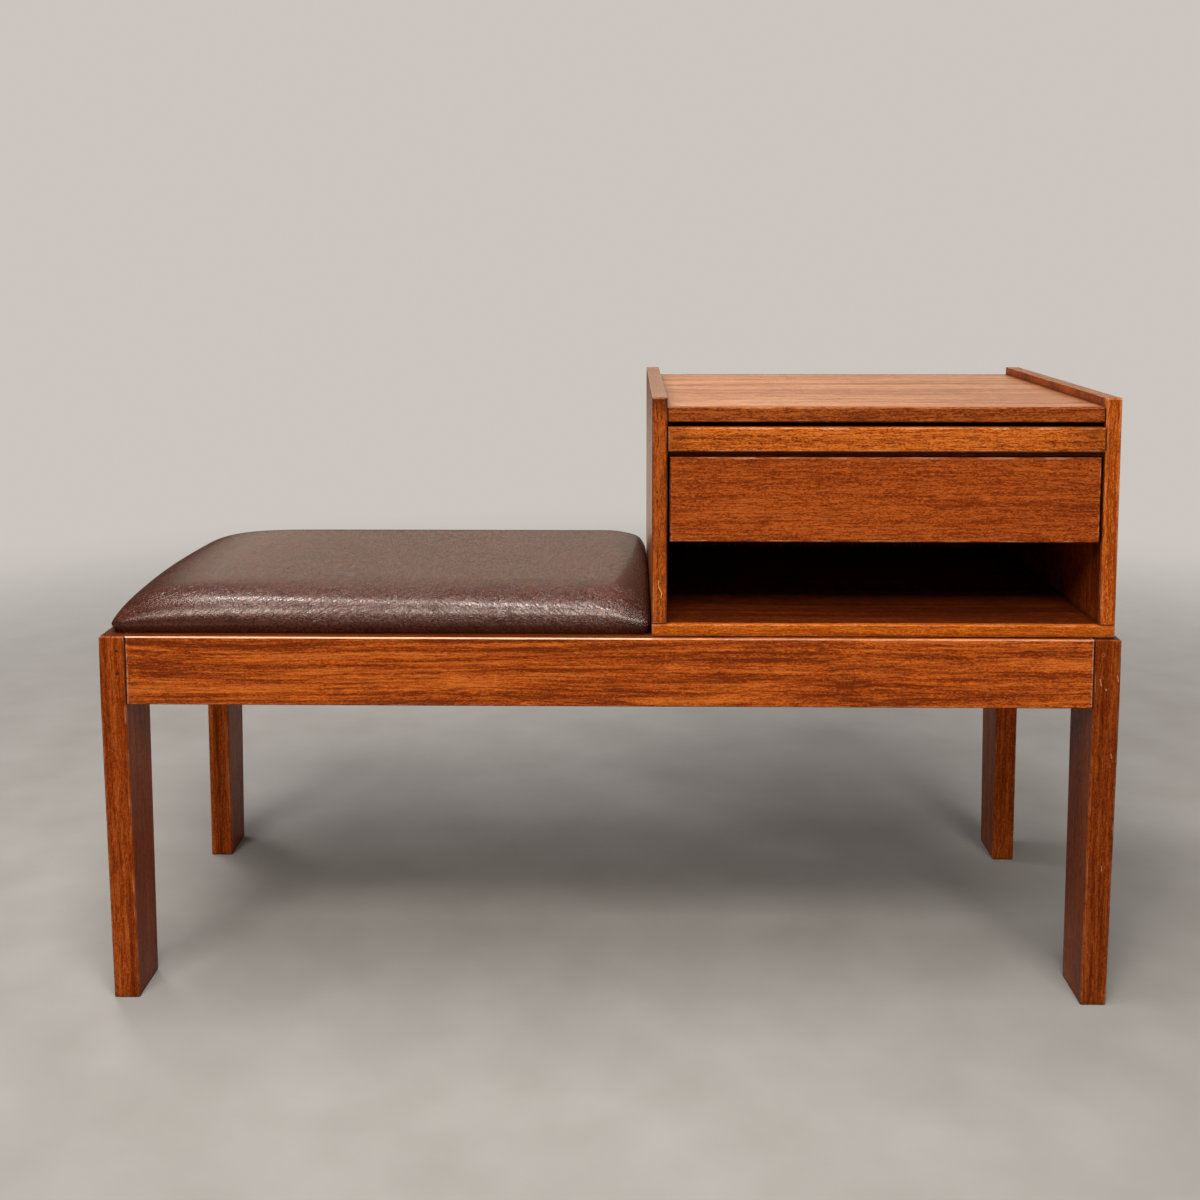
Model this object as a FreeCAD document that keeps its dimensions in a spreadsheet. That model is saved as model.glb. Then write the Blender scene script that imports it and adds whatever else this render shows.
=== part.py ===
import FreeCAD, Part
import math
import os
import re

import Sketcher

# Telephone bench in teak: a frame of four tapered legs and rails, a padded seat on its left
# and a small cabinet on its right, with a writing slide, a drawer and an open compartment.
# Millimetres. +X runs to the right along the bench, +Y to the back, +Z up; the origin is on
# the floor, under the middle of the bench.

SIZES = {
    # the frame
    "bench_length": 1020,
    "bench_depth": 424,
    "leg_height": 385,
    "leg_thickness": 26,
    "leg_top_depth": 70,
    "leg_taper": 11,
    "foot_chamfer": 1.5,
    "arris": 1.2,
    "rail_height": 70,
    "rail_thickness": 20,
    "rail_end_chamfer": 1.5,
    "rear_rail_lead": 2,
    "tenon_thickness": 8,
    "tenon_length": 12,
    "tenon_inset": 5,
    "tenon_shoulder": 10,
    "tenon_wall": 2,
    "side_tenon_length": 20,
    "pin_diameter": 3,
    "pin_length": 20,
    "pin_from_outside": 18,
    "pin_from_top": 15,
    "pin_spacing": 23,
    "cross_rail_width": 36,
    "cross_rail_height": 45,
    "cross_rail_housing": 6,
    "block_leg": 45,
    "block_height": 30,
    "block_screw_inset": 14,
    "screw_diameter": 4,
    "screw_clearance": 0.4,
    "screw_bite": 8,
    "screw_head_diameter": 8,
    "screw_head_height": 2.5,
    "screw_head_gap": 0.5,
    # the seat
    "seat_setback": 16,
    "seat_end_inset": 11,
    "seat_back_inset": 2,
    "seat_gap": 2,
    "seat_board_thickness": 12,
    "foam_thickness": 29,
    "foam_clearance": 0.3,
    "cover_thickness": 1,
    "cover_hem": 25,
    "seat_corner_radius": 28,
    "seat_crown_radius": 20,
    # the cabinet
    "cabinet_width": 460,
    "cabinet_height": 240,
    "cabinet_end_inset": 5,
    "cabinet_setback": 6,
    "panel_thickness": 15,
    "bottom_thickness": 13,
    "top_thickness": 15,
    "top_upstand": 9,
    "top_setback": 2,
    "top_housing": 5,
    "top_tongue": 7,
    "lipping_depth": 6,
    "back_thickness": 5,
    "back_rebate": 8,
    "dowel_diameter": 6,
    "dowel_in_board": 9,
    "dowel_in_edge": 15,
    "dowel_end_inset": 34,
    "slide_bay_height": 30,
    "dust_thickness": 4,
    # the writing slide
    "slide_front_height": 24,
    "slide_front_thickness": 18,
    "slide_front_proud": 2,
    "slide_side_gap": 0.7,
    "slide_rest_gap": 1,
    "slide_board_thickness": 12,
    "slide_rear_gap": 27,
    "slide_tongue": 8,
    "guide_thickness": 10,
    "guide_groove_depth": 6.5,
    "slide_edge_gap": 0.5,
    "slide_running_gap": 0.3,
    "slide_top_gap": 0.5,
    # the drawer
    "drawer_front_height": 85,
    "drawer_front_thickness": 18,
    "drawer_setback": 2,
    "drawer_side_gap": 2.5,
    "drawer_top_gap": 1,
    "drawer_rear_gap": 21,
    "drawer_side_height": 60,
    "drawer_side_thickness": 12,
    "drawer_side_rise": 14,
    "drawer_back_thickness": 12,
    "drawer_back_inset": 10,
    "drawer_back_housing": 4,
    "drawer_bottom_thickness": 4,
    "drawer_bottom_rise": 4,
    "drawer_bottom_groove": 5,
    "dovetail_length": 12,
    "dovetail_neck": 8,
    "dovetail_flare": 2,
    "dovetail_count": 3,
    "runner_height": 12,
    "runner_rise": 24,
    "runner_rear_gap": 16,
    "runner_groove_depth": 6,
    "runner_edge_gap": 0.5,
    "running_gap": 0.3,
    "runner_bottom_gap": 0.7,
}

# Places and lengths that follow from the sizes.
PLACES = {
    "left_end": "-bench_length/2",
    "front": "-bench_depth/2",
    "rail_foot": "leg_height - rail_height",
    "rail_length": "bench_length - 2*leg_thickness",
    "half_rail": "rail_length/2",
    "tenon_top": "rail_height - tenon_shoulder",
    "rear_leg_front": "bench_depth/2 - leg_top_depth",
    "rear_rail_front": "rear_leg_front - rear_rail_lead",
    "back": "rear_rail_front + rail_thickness",
    "back_inside": "back - back_thickness",
    "rear_tenon": "rail_thickness - tenon_inset - tenon_thickness",
    "side_rail_inset": "leg_thickness - rail_thickness",
    "side_rail_length": "bench_depth - 2*leg_top_depth",
    "side_tenon": "rail_thickness - tenon_length - tenon_wall",
    "inner_corner": "left_end + leg_thickness",
    "pin_across": "half_rail + leg_thickness - pin_from_outside",
    "upper_pin": "rail_height - pin_from_top",
    "lower_pin": "upper_pin - pin_spacing",
    "cabinet_right": "bench_length/2 - cabinet_end_inset",
    "cabinet_left": "cabinet_right - cabinet_width",
    "cabinet_middle": "cabinet_left + cabinet_width/2",
    "cabinet_front": "front + cabinet_setback",
    "cabinet_bay": "cabinet_width - 2*panel_thickness",
    "bay_left": "cabinet_left + panel_thickness",
    "carcass_front": "cabinet_front + lipping_depth",
    "carcass_depth": "back - carcass_front",
    "inside_depth": "back_inside - carcass_front",
    "cabinet_floor": "leg_height + bottom_thickness",
    "cabinet_head": "leg_height + cabinet_height",
    "side_height": "cabinet_head - cabinet_floor",
    "top_upper": "cabinet_head - top_upstand",
    "top_lower": "top_upper - top_thickness",
    "top_front": "cabinet_front + top_setback",
    "top_board_front": "top_front + lipping_depth",
    "top_board_depth": "back_inside - top_board_front",
    "back_height": "top_upper - cabinet_floor",
    "dowel_length": "dowel_in_board + dowel_in_edge",
    "dowel_rear": "carcass_depth - dowel_end_inset",
    "cross_rail_middle": "cabinet_left - seat_gap/2",
    "cross_rail_left": "cross_rail_middle - cross_rail_width/2",
    "cross_rail_front": "front + rail_thickness - cross_rail_housing",
    "cross_rail_length": "rear_rail_front + cross_rail_housing - cross_rail_front",
    "cross_rail_foot": "rail_height - cross_rail_height",
    "block_seat": "leg_height - block_height",
    "bore_radius": "(screw_diameter + screw_clearance)/2",
    "counterbore_radius": "screw_head_diameter/2 + screw_head_gap",
    "seat_left": "left_end + seat_end_inset",
    "seat_length": "cabinet_left - seat_gap - seat_left",
    "seat_front": "front + seat_setback",
    "seat_depth": "back - seat_back_inset - seat_front",
    "seat_height": "2*cover_thickness + seat_board_thickness + foam_thickness",
    "foam_inset": "cover_thickness + foam_clearance",
    "foam_chamfer": "seat_crown_radius - 3*cover_thickness",
    "dust_upper": "top_lower - slide_bay_height",
    "dust_lower": "dust_upper - dust_thickness",
    "slide_front_front": "cabinet_front - slide_front_proud",
    "slide_front_back": "slide_front_front + slide_front_thickness",
    "guide_front": "slide_front_back + slide_running_gap",
    "guide_length": "back_inside - guide_front",
    "slide_front_length": "cabinet_bay - 2*slide_side_gap",
    "slide_board_front": "slide_front_back - slide_tongue",
    "slide_board_depth": "back_inside - slide_rear_gap - slide_board_front",
    "slide_board_width": "cabinet_bay - 2*(guide_thickness - guide_groove_depth + slide_edge_gap)",
    "slide_board_rise": "(slide_front_height - slide_board_thickness)/2",
    "slide_board_lower": "dust_upper + slide_rest_gap + slide_board_rise",
    "guide_groove_lower": "slide_board_lower - slide_running_gap - dust_upper",
    "guide_groove_height": "slide_board_thickness + slide_running_gap + slide_top_gap",
    "drawer_length": "cabinet_bay - 2*drawer_side_gap",
    "drawer_left": "bay_left + drawer_side_gap",
    "drawer_front_front": "cabinet_front + drawer_setback",
    "drawer_box_front": "drawer_front_front + drawer_front_thickness",
    "drawer_box_length": "back_inside - drawer_rear_gap - drawer_box_front",
    "drawer_front_foot": "dust_lower - drawer_top_gap - drawer_front_height",
    "drawer_side_foot": "drawer_front_foot + drawer_side_rise",
    "drawer_floor": "drawer_bottom_rise + drawer_bottom_thickness",
    "drawer_inside": "drawer_length - 2*drawer_side_thickness",
    "drawer_bottom_width": "drawer_inside + 2*drawer_bottom_groove",
    "drawer_back_length": "drawer_inside + 2*drawer_back_housing",
    "drawer_back_rear": "drawer_box_length - drawer_back_inset",
    "dovetail_pitch": "drawer_side_height/dovetail_count",
    "dovetail_low": "(dovetail_pitch - dovetail_neck)/2",
    "dovetail_high": "(dovetail_pitch + dovetail_neck)/2",
    "runner_front": "drawer_box_front + running_gap",
    "runner_length": "back_inside - runner_rear_gap - runner_front",
    "runner_foot": "drawer_side_foot + runner_rise",
    "runner_thickness": "drawer_side_gap + runner_groove_depth - runner_edge_gap",
    "runner_groove_top": "runner_rise + runner_height + running_gap",
    "runner_groove_foot": "runner_rise - runner_bottom_gap",
}

doc = FreeCAD.newDocument("telephone_bench")
parts = {}


def make_sheet(name, cells):
    """A spreadsheet with one named value in each row."""
    sheet = doc.addObject("Spreadsheet::Sheet", name)
    for row, (alias, content) in enumerate(cells.items(), start=1):
        sheet.set(f"A{row}", alias)
        sheet.setAlias(f"B{row}", alias)
        sheet.set(f"B{row}", content)
    doc.recompute()
    return sheet


def formula(text):
    """Write each size or place in a formula with the name of its sheet."""
    def qualify(match):
        word = match.group()
        sheet = "Sizes" if word in SIZES else "Places"
        return f"{sheet}.{word}"
    return re.sub(r"[a-z]+(?:_[a-z]+)*", qualify, text)


def bind(thing, **properties):
    """Tie properties to formulas; a double underscore stands for a dot."""
    for name, text in properties.items():
        thing.setExpression(name.replace("__", "."), formula(text))


def place(thing, across, along, up):
    """Put a sub-part where three formulas say."""
    bind(thing, Placement__Base__x=across, Placement__Base__y=along, Placement__Base__z=up)


def keep(thing, name):
    """Name a finished sub-part."""
    thing.Label = name
    parts[name] = thing
    return thing


def new_body(name):
    body = doc.addObject("PartDesign::Body", name)
    return keep(body, name)


def origin_feature(body, role):
    return next(item for item in body.Origin.OriginFeatures if item.Role == role)


def new_sketch(body, plane, offset):
    """An empty sketch, parallel to an origin plane and an offset away along its normal."""
    sketch = body.newObject("Sketcher::SketchObject", "outline")
    sketch.AttachmentSupport = [(origin_feature(body, plane), "")]
    sketch.MapMode = "FlatFace"
    bind(sketch, AttachmentOffset__Base__z=offset)
    return sketch


def dimension(sketch, geometry, point, across, up):
    """Hold a point at two formulas, measured from the sketch's origin."""
    for kind, axis, text in (("DistanceX", -2, across), ("DistanceY", -1, up)):
        if text == "0":
            sketch.addConstraint(Sketcher.Constraint("PointOnObject", geometry, point, axis))
        else:
            rule = sketch.addConstraint(Sketcher.Constraint(kind, -1, 1, geometry, point, 1.0))
            sketch.setExpression(f"Constraints[{rule}]", formula(text))


def outline(body, plane, corners, offset="0"):
    """A closed sketch of straight edges through corners given by formulas."""
    sketch = new_sketch(body, plane, offset)
    count = len(corners)
    turns = [2*math.pi*corner/count for corner in range(count)]
    start = [FreeCAD.Vector(math.cos(turn), math.sin(turn), 0) for turn in turns]
    for edge in range(count):
        sketch.addGeometry(Part.LineSegment(start[edge], start[(edge + 1) % count]), False)
    for edge in range(count):
        following = (edge + 1) % count
        sketch.addConstraint(Sketcher.Constraint("Coincident", edge, 2, following, 1))
    for edge, (across, up) in enumerate(corners):
        dimension(sketch, edge, 1, across, up)
    return sketch


def rectangle(body, plane, left, low, right, high, offset="0"):
    corners = [(left, low), (right, low), (right, high), (left, high)]
    return outline(body, plane, corners, offset)


def circles(body, plane, centres, radius, offset="0"):
    """A sketch of equal circles at centres given by formulas."""
    sketch = new_sketch(body, plane, offset)
    for across, up in centres:
        circle = Part.Circle(FreeCAD.Vector(1, 1, 0), FreeCAD.Vector(0, 0, 1), 1)
        index = sketch.addGeometry(circle, False)
        dimension(sketch, index, 3, across, up)
        rule = sketch.addConstraint(Sketcher.Constraint("Radius", index, 1.0))
        sketch.setExpression(f"Constraints[{rule}]", formula(radius))
    return sketch


def pad(body, sketch, length, backwards=False):
    feature = body.newObject("PartDesign::Pad", "pad")
    feature.Profile = sketch
    feature.Reversed = backwards
    bind(feature, Length=length)
    doc.recompute()
    return feature


def pocket(body, sketch, depth, backwards=False):
    """Cut a sketch into the body, against the plane's normal unless it is turned."""
    before = body.Shape.Volume
    feature = body.newObject("PartDesign::Pocket", "pocket")
    feature.Profile = sketch
    feature.Reversed = backwards
    bind(feature, Length=depth)
    doc.recompute()
    if not body.Shape.Volume < before:
        raise ValueError(f"a pocket of {body.Label} cuts nothing")
    return feature


def repeat_upwards(body, feature, pitch, count):
    """Repeat a feature along Z."""
    pattern = body.newObject("PartDesign::LinearPattern", "pattern")
    pattern.Originals = [feature]
    pattern.Direction = (origin_feature(body, "Z_Axis"), [""])
    bind(pattern, Occurrences=count, Length=f"{pitch}*({count} - 1)")
    body.Tip = pattern
    doc.recompute()
    return pattern


def mirror_in_body(body, features):
    """Repeat features on the other side of the body's own middle plane."""
    mirror = body.newObject("PartDesign::Mirrored", "mirror")
    mirror.Originals = features
    mirror.MirrorPlane = (origin_feature(body, "YZ_Plane"), [""])
    body.Tip = mirror
    doc.recompute()
    return mirror


def edge_names(shape, wanted):
    """Names of the edges for which wanted(low corner, high corner) holds."""
    names = []
    for number, edge in enumerate(shape.Edges, start=1):
        box = edge.BoundBox
        low = FreeCAD.Vector(box.XMin, box.YMin, box.ZMin)
        high = FreeCAD.Vector(box.XMax, box.YMax, box.ZMax)
        if wanted(low, high):
            names.append(f"Edge{number}")
    return names


def near(first, second):
    return abs(first - second) < 0.01


def dress(body, kind, wanted):
    """Start a fillet or chamfer on the chosen edges of the body's last feature."""
    base = body.Tip
    feature = body.newObject(f"PartDesign::{kind}", kind.lower())
    feature.Base = (base, edge_names(base.Shape, wanted))
    return feature


def chamfer(body, size, wanted):
    """Break the chosen edges with a flat."""
    bind(dress(body, "Chamfer", wanted), Size=size)
    doc.recompute()
    if not body.Shape.isValid():
        raise ValueError(f"a chamfer of {body.Label} is not valid")


def fillet(body, radius, wanted):
    """Round the chosen edges."""
    bind(dress(body, "Fillet", wanted), Radius=radius)
    doc.recompute()
    if not body.Shape.isValid():
        raise ValueError(f"a fillet of {body.Label} is not valid")


def mirrored_part(source, name, plane="0"):
    """The opposite hand of a sub-part, across an upright plane over the bench's length."""
    mirror = doc.addObject("Part::Mirroring", name)
    mirror.Source = parts[source]
    mirror.Normal = FreeCAD.Vector(1, 0, 0)
    bind(mirror, Base__x=plane)
    return keep(mirror, name)


def grouped(name, members):
    """Like fasteners as one sub-part of separate solids."""
    group = doc.addObject("Part::Compound", name)
    group.Links = members
    return keep(group, name)


def cylinder(radius, length, across, along, up, turn=None):
    """A cylinder that starts at a point; turn is the rotation that lays its axis down."""
    bar = doc.addObject("Part::Cylinder", "bar")
    if turn:
        bar.Placement = FreeCAD.Placement(FreeCAD.Vector(), turn)
    bind(bar, Radius=radius, Height=length)
    place(bar, across, along, up)
    return bar


def board(name, length, depth, height):
    """A plain board whose lower, left, front corner is its own origin."""
    body = new_body(name)
    sketch = rectangle(body, "XZ_Plane", "0", "0", length, height)
    pad(body, sketch, depth, backwards=True)
    return body


to_back = FreeCAD.Rotation(FreeCAD.Vector(1, 0, 0), -90)

make_sheet("Sizes", {alias: str(size) for alias, size in SIZES.items()})
make_sheet("Places", {alias: "=" + formula(text) for alias, text in PLACES.items()})


# ---- legs: straight inside, the outer face tapered below the rail, mortised for both rails

def leg(name, corners, rail_mortise, side_face, side_backwards):
    """A left leg; its origin is the foot of its outer face, at its front."""
    body = new_body(name)
    pad(body, outline(body, "YZ_Plane", corners), "leg_thickness")
    chamfer(body, "foot_chamfer", lambda low, high: near(high.z, 0))
    chamfer(body, "arris", lambda low, high: high.z > 2*SIZES["foot_chamfer"])
    low = "rail_foot + tenon_shoulder"
    high = "rail_foot + tenon_top"
    rail_end = f"{rail_mortise} + tenon_thickness"
    mortise = rectangle(body, "YZ_Plane", rail_mortise, low, rail_end, high, "leg_thickness")
    pocket(body, mortise, "tenon_length")
    side_end = "side_rail_inset + side_tenon"
    mortise = rectangle(body, "XZ_Plane", "side_rail_inset", low, side_end, high, side_face)
    pocket(body, mortise, "side_tenon_length", side_backwards)
    return body


front_leg = leg(
    "front_left_leg",
    [("leg_taper", "0"), ("leg_top_depth", "0"), ("leg_top_depth", "leg_height"),
     ("0", "leg_height"), ("0", "rail_foot")],
    "tenon_inset", "-leg_top_depth", True)
bores = [("pin_from_outside", f"rail_foot + {up}") for up in ("upper_pin", "lower_pin")]
pocket(front_leg, circles(front_leg, "XZ_Plane", bores, "pin_diameter/2"), "pin_length")
place(front_leg, "left_end", "front", "0")
rear_leg = leg(
    "rear_left_leg",
    [("0", "0"), ("leg_top_depth - leg_taper", "0"), ("leg_top_depth", "rail_foot"),
     ("leg_top_depth", "leg_height"), ("0", "leg_height")],
    "rear_tenon - rear_rail_lead", "0", False)
place(rear_leg, "left_end", "rear_leg_front", "0")
mirrored_part("front_left_leg", "front_right_leg")
mirrored_part("rear_left_leg", "rear_right_leg")


# ---- long rails: tenoned into the legs and housed for the cross rail; the front one is pinned

def long_rail(name, tenon_start, housing_face, housing_backwards):
    """A rail between two legs; its origin is the middle of its foot, at its front face."""
    body = new_body(name)
    sketch = rectangle(body, "XZ_Plane", "-half_rail", "0", "half_rail", "rail_height")
    pad(body, sketch, "rail_thickness", backwards=True)
    chamfer(body, "rail_end_chamfer", lambda low, high: near(low.x, high.x) and near(low.y, high.y))
    chamfer(body, "arris", lambda low, high: high.x - low.x > high.z - low.z + high.y - low.y)
    sketch = rectangle(body, "YZ_Plane", tenon_start, "tenon_shoulder",
                       f"{tenon_start} + tenon_thickness", "tenon_top", "half_rail")
    tenon = pad(body, sketch, "tenon_length")
    mirror_in_body(body, [tenon])
    housing = rectangle(body, "XZ_Plane", "cross_rail_left", "cross_rail_foot",
                        "cross_rail_left + cross_rail_width", "rail_height", housing_face)
    pocket(body, housing, "cross_rail_housing", housing_backwards)
    return body


front_rail = long_rail("front_rail", "tenon_inset", "-rail_thickness", True)
bores = [(side + "pin_across", up) for side in ("", "-") for up in ("upper_pin", "lower_pin")]
pocket(front_rail, circles(front_rail, "XZ_Plane", bores, "pin_diameter/2"), "rail_thickness")
place(front_rail, "0", "front", "rail_foot")
rear_rail = long_rail("rear_rail", "rear_tenon", "0", False)
place(rear_rail, "0", "rear_rail_front", "rail_foot")


# ---- side rails: flush with the legs inside, with tenons flush with the rail's outer face

side_rail = new_body("left_side_rail")
sketch = rectangle(side_rail, "YZ_Plane", "0", "0", "side_rail_length", "rail_height")
pad(side_rail, sketch, "rail_thickness")
chamfer(side_rail, "arris", lambda low, high: high.y - low.y > high.x - low.x + high.z - low.z)
sketch = rectangle(side_rail, "YZ_Plane", "-side_tenon_length", "tenon_shoulder",
                   "side_rail_length + side_tenon_length", "tenon_top")
pad(side_rail, sketch, "side_tenon")
place(side_rail, "left_end + side_rail_inset", "front + leg_top_depth", "rail_foot")
mirrored_part("left_side_rail", "right_side_rail")


# ---- cross rail: under the joint of seat and cabinet, bored and counterbored for two screws

cross_rail = board("cross_rail", "cross_rail_width", "cross_rail_length", "cross_rail_height")
bores = [(across, "cross_rail_length/2") for across in ("cross_rail_width/4", "3*cross_rail_width/4")]
pocket(cross_rail, circles(cross_rail, "XY_Plane", bores, "bore_radius"), "cross_rail_height", True)
pocket(cross_rail, circles(cross_rail, "XY_Plane", bores, "counterbore_radius"),
       "cross_rail_height - block_height", True)
place(cross_rail, "cross_rail_left", "cross_rail_front", "rail_foot + cross_rail_foot")


# ---- corner blocks: glued into the corners, each bored for one screw

def corner_block(name, sign, along):
    """A three-sided block; its origin is its square corner, and it runs right and inwards."""
    body = new_body(name)
    inwards = f"{sign}block_leg"
    pad(body, outline(body, "XY_Plane", [("0", "0"), ("block_leg", "0"), ("0", inwards)]), "block_height")
    hole = circles(body, "XY_Plane", [("block_screw_inset", f"{sign}block_screw_inset")], "bore_radius")
    pocket(body, hole, "block_height", True)
    place(body, "inner_corner", along, "block_seat")


corner_block("front_left_block", "", "front + rail_thickness")
corner_block("rear_left_block", "-", "rear_rail_front")
mirrored_part("front_left_block", "front_right_block")
mirrored_part("rear_left_block", "rear_right_block")


# ---- pins through the tenons, and the screws that hold the seat and the cabinet down

pins = [cylinder("pin_diameter/2", "pin_length", side + "pin_across", "front", f"rail_foot + {up}", to_back)
        for side in ("", "-") for up in ("upper_pin", "lower_pin")]
grouped("tenon_pins", pins)


def upright_screw(across, along):
    """A pan-head screw, driven up through a block or the cross rail."""
    head = cylinder("screw_head_diameter/2", "screw_head_height",
                    across, along, "block_seat - screw_head_height")
    shank = cylinder("screw_diameter/2", "block_height + screw_bite", across, along, "block_seat")
    screw = doc.addObject("Part::MultiFuse", "screw")
    screw.Shapes = [head, shank]
    return screw


block_rows = ("front + rail_thickness + block_screw_inset", "rear_rail_front - block_screw_inset")
cross_rows = ("cross_rail_front + cross_rail_length/2",)
seat_screws = [upright_screw("inner_corner + block_screw_inset", row) for row in block_rows]
seat_screws += [upright_screw("cross_rail_left + cross_rail_width/4", row) for row in cross_rows]
grouped("seat_screws", seat_screws)
cabinet_screws = [upright_screw("-inner_corner - block_screw_inset", row) for row in block_rows]
cabinet_screws += [upright_screw("cross_rail_left + 3*cross_rail_width/4", row) for row in cross_rows]
grouped("cabinet_screws", cabinet_screws)


# ---- seat: a board, a foam pad with a rolled edge and a cover drawn over both

def rounded_slab(name, inset, height, crown=None):
    """A slab with round corners, inset from the seat's outline; a crown rolls its top edge."""
    body = doc.addObject("PartDesign::Body", name)
    sketch = rectangle(body, "XY_Plane", inset, inset, f"seat_length - {inset}", f"seat_depth - {inset}")
    pad(body, sketch, height)
    fillet(body, f"seat_corner_radius - {inset}",
           lambda low, high: near(low.x, high.x) and near(low.y, high.y))
    if crown:
        top = body.Shape.BoundBox.ZMax
        fillet(body, crown, lambda low, high: near(low.z, top))
    return body


seat_board = rounded_slab("seat_board", "cover_thickness", "seat_board_thickness")
pilots = [(f"{across} - seat_left", f"{along} - seat_front")
          for across, rows in (("inner_corner + block_screw_inset", block_rows),
                               ("cross_rail_left + cross_rail_width/4", cross_rows))
          for along in rows]
pocket(seat_board, circles(seat_board, "XY_Plane", pilots, "screw_diameter/2"),
       "screw_bite - cover_thickness", True)
place(seat_board, "seat_left", "seat_front", "leg_height + cover_thickness")
keep(seat_board, "seat_board")

foam = rounded_slab("seat_foam", "foam_inset", "foam_thickness - foam_clearance")
foam_top = foam.Shape.BoundBox.ZMax
chamfer(foam, "foam_chamfer", lambda low, high: near(low.z, foam_top))
place(foam, "seat_left", "seat_front", "leg_height + cover_thickness + seat_board_thickness")
keep(foam, "seat_foam")

outside = rounded_slab("cover_outside", "0", "seat_height", "seat_crown_radius")
inside = rounded_slab("cover_inside", "cover_thickness", "seat_height - 2*cover_thickness",
                      "seat_crown_radius - cover_thickness")
place(inside, "0", "0", "cover_thickness")
under = doc.addObject("Part::Box", "cover_opening")
bind(under, Length="seat_length - 2*cover_hem", Width="seat_depth - 2*cover_hem",
     Height="2*cover_thickness")
place(under, "cover_hem", "cover_hem", "-cover_thickness/2")
hollow = doc.addObject("Part::MultiFuse", "cover_hollow")
pierced = [cylinder("screw_diameter/2", "2*cover_thickness", across, along, "-cover_thickness/2")
           for across, along in pilots]
hollow.Shapes = [inside, under] + pierced
cover = doc.addObject("Part::Cut", "seat_cover")
cover.Base = outside
cover.Tool = hollow
place(cover, "seat_left", "seat_front", "leg_height")
keep(cover, "seat_cover")


# ---- cabinet sides: rebated for the back, grooved for the top and bored for the dowels at the foot

dowel_rows = ("dowel_end_inset", "dowel_rear")

side = new_body("cabinet_left_side")
pad(side, rectangle(side, "YZ_Plane", "0", "0", "carcass_depth", "side_height"), "panel_thickness")
rebate = rectangle(side, "YZ_Plane", "inside_depth", "0",
                   "carcass_depth", "back_height", "panel_thickness")
pocket(side, rebate, "back_rebate")
feet = [("panel_thickness/2", row) for row in dowel_rows]
pocket(side, circles(side, "XY_Plane", feet, "dowel_diameter/2"), "dowel_in_edge", True)
groove = rectangle(side, "YZ_Plane", "top_board_front - carcass_front", "top_lower - cabinet_floor",
                   "inside_depth", "top_lower + top_tongue - cabinet_floor",
                   "panel_thickness")
pocket(side, groove, "top_housing")
place(side, "cabinet_left", "carcass_front", "cabinet_floor")
mirrored_part("cabinet_left_side", "cabinet_right_side", "cabinet_middle")


# ---- cabinet bottom, top and back; the top has bare-faced tongues in the sides' grooves

bottom = board("cabinet_bottom", "cabinet_width", "carcass_depth", "bottom_thickness")
dowels = [(across, row)
          for across in ("panel_thickness/2", "cabinet_width - panel_thickness/2")
          for row in dowel_rows]
holes = circles(bottom, "XY_Plane", dowels, "dowel_diameter/2", "bottom_thickness")
pocket(bottom, holes, "dowel_in_board")
pilots = [(f"{across} - cabinet_left", f"{row} - carcass_front")
          for across, rows in (("-inner_corner - block_screw_inset", block_rows),
                               ("cross_rail_left + 3*cross_rail_width/4", cross_rows))
          for row in rows]
pocket(bottom, circles(bottom, "XY_Plane", pilots, "screw_diameter/2"), "screw_bite", True)
place(bottom, "cabinet_left", "carcass_front", "leg_height")

top = board("cabinet_top", "cabinet_bay", "top_board_depth", "top_thickness")
tongues = rectangle(top, "XZ_Plane", "-top_housing", "0", "cabinet_bay + top_housing", "top_tongue")
pad(top, tongues, "top_board_depth", backwards=True)
place(top, "bay_left", "top_board_front", "top_lower")

back = board("cabinet_back", "cabinet_bay + 2*back_rebate", "back_thickness", "back_height")
place(back, "bay_left - back_rebate", "back_inside", "cabinet_floor")

dowels = [cylinder("dowel_diameter/2", "dowel_length", across, f"carcass_front + {row}",
                   "cabinet_floor - dowel_in_board")
          for across in ("cabinet_left + panel_thickness/2", "cabinet_right - panel_thickness/2")
          for row in dowel_rows]
grouped("cabinet_dowels", dowels)


# ---- lippings: solid strips glued to the front edges, their outer arrises eased

def lipping(name, length, height, across, along, up):
    strip = board(name, length, "lipping_depth", height)
    chamfer(strip, "arris", lambda low, high: near(high.y, 0))
    place(strip, across, along, up)


lipping("left_side_lipping", "panel_thickness", "side_height",
        "cabinet_left", "cabinet_front", "cabinet_floor")
mirrored_part("left_side_lipping", "right_side_lipping", "cabinet_middle")
lipping("bottom_lipping", "cabinet_width", "bottom_thickness",
        "cabinet_left", "cabinet_front", "leg_height")
lipping("top_lipping", "cabinet_bay", "top_thickness", "bay_left", "top_front", "top_lower")


# ---- dust panel and the grooved guides that the writing slide runs in

dust = board("dust_panel", "cabinet_bay", "inside_depth", "dust_thickness")
place(dust, "bay_left", "carcass_front", "dust_lower")

guide = new_body("left_slide_guide")
pad(guide, rectangle(guide, "YZ_Plane", "0", "0", "guide_length", "slide_bay_height"), "guide_thickness")
groove = rectangle(guide, "YZ_Plane", "0", "guide_groove_lower", "guide_length",
                   "guide_groove_lower + guide_groove_height", "guide_thickness")
pocket(guide, groove, "guide_groove_depth")
place(guide, "bay_left", "guide_front", "dust_upper")
mirrored_part("left_slide_guide", "right_slide_guide", "cabinet_middle")


# ---- drawer runners, glued to the cabinet's sides

runner = new_body("left_drawer_runner")
pad(runner, rectangle(runner, "YZ_Plane", "0", "0", "runner_length", "runner_height"), "runner_thickness")
place(runner, "bay_left", "runner_front", "runner_foot")
mirrored_part("left_drawer_runner", "right_drawer_runner", "cabinet_middle")


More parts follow.
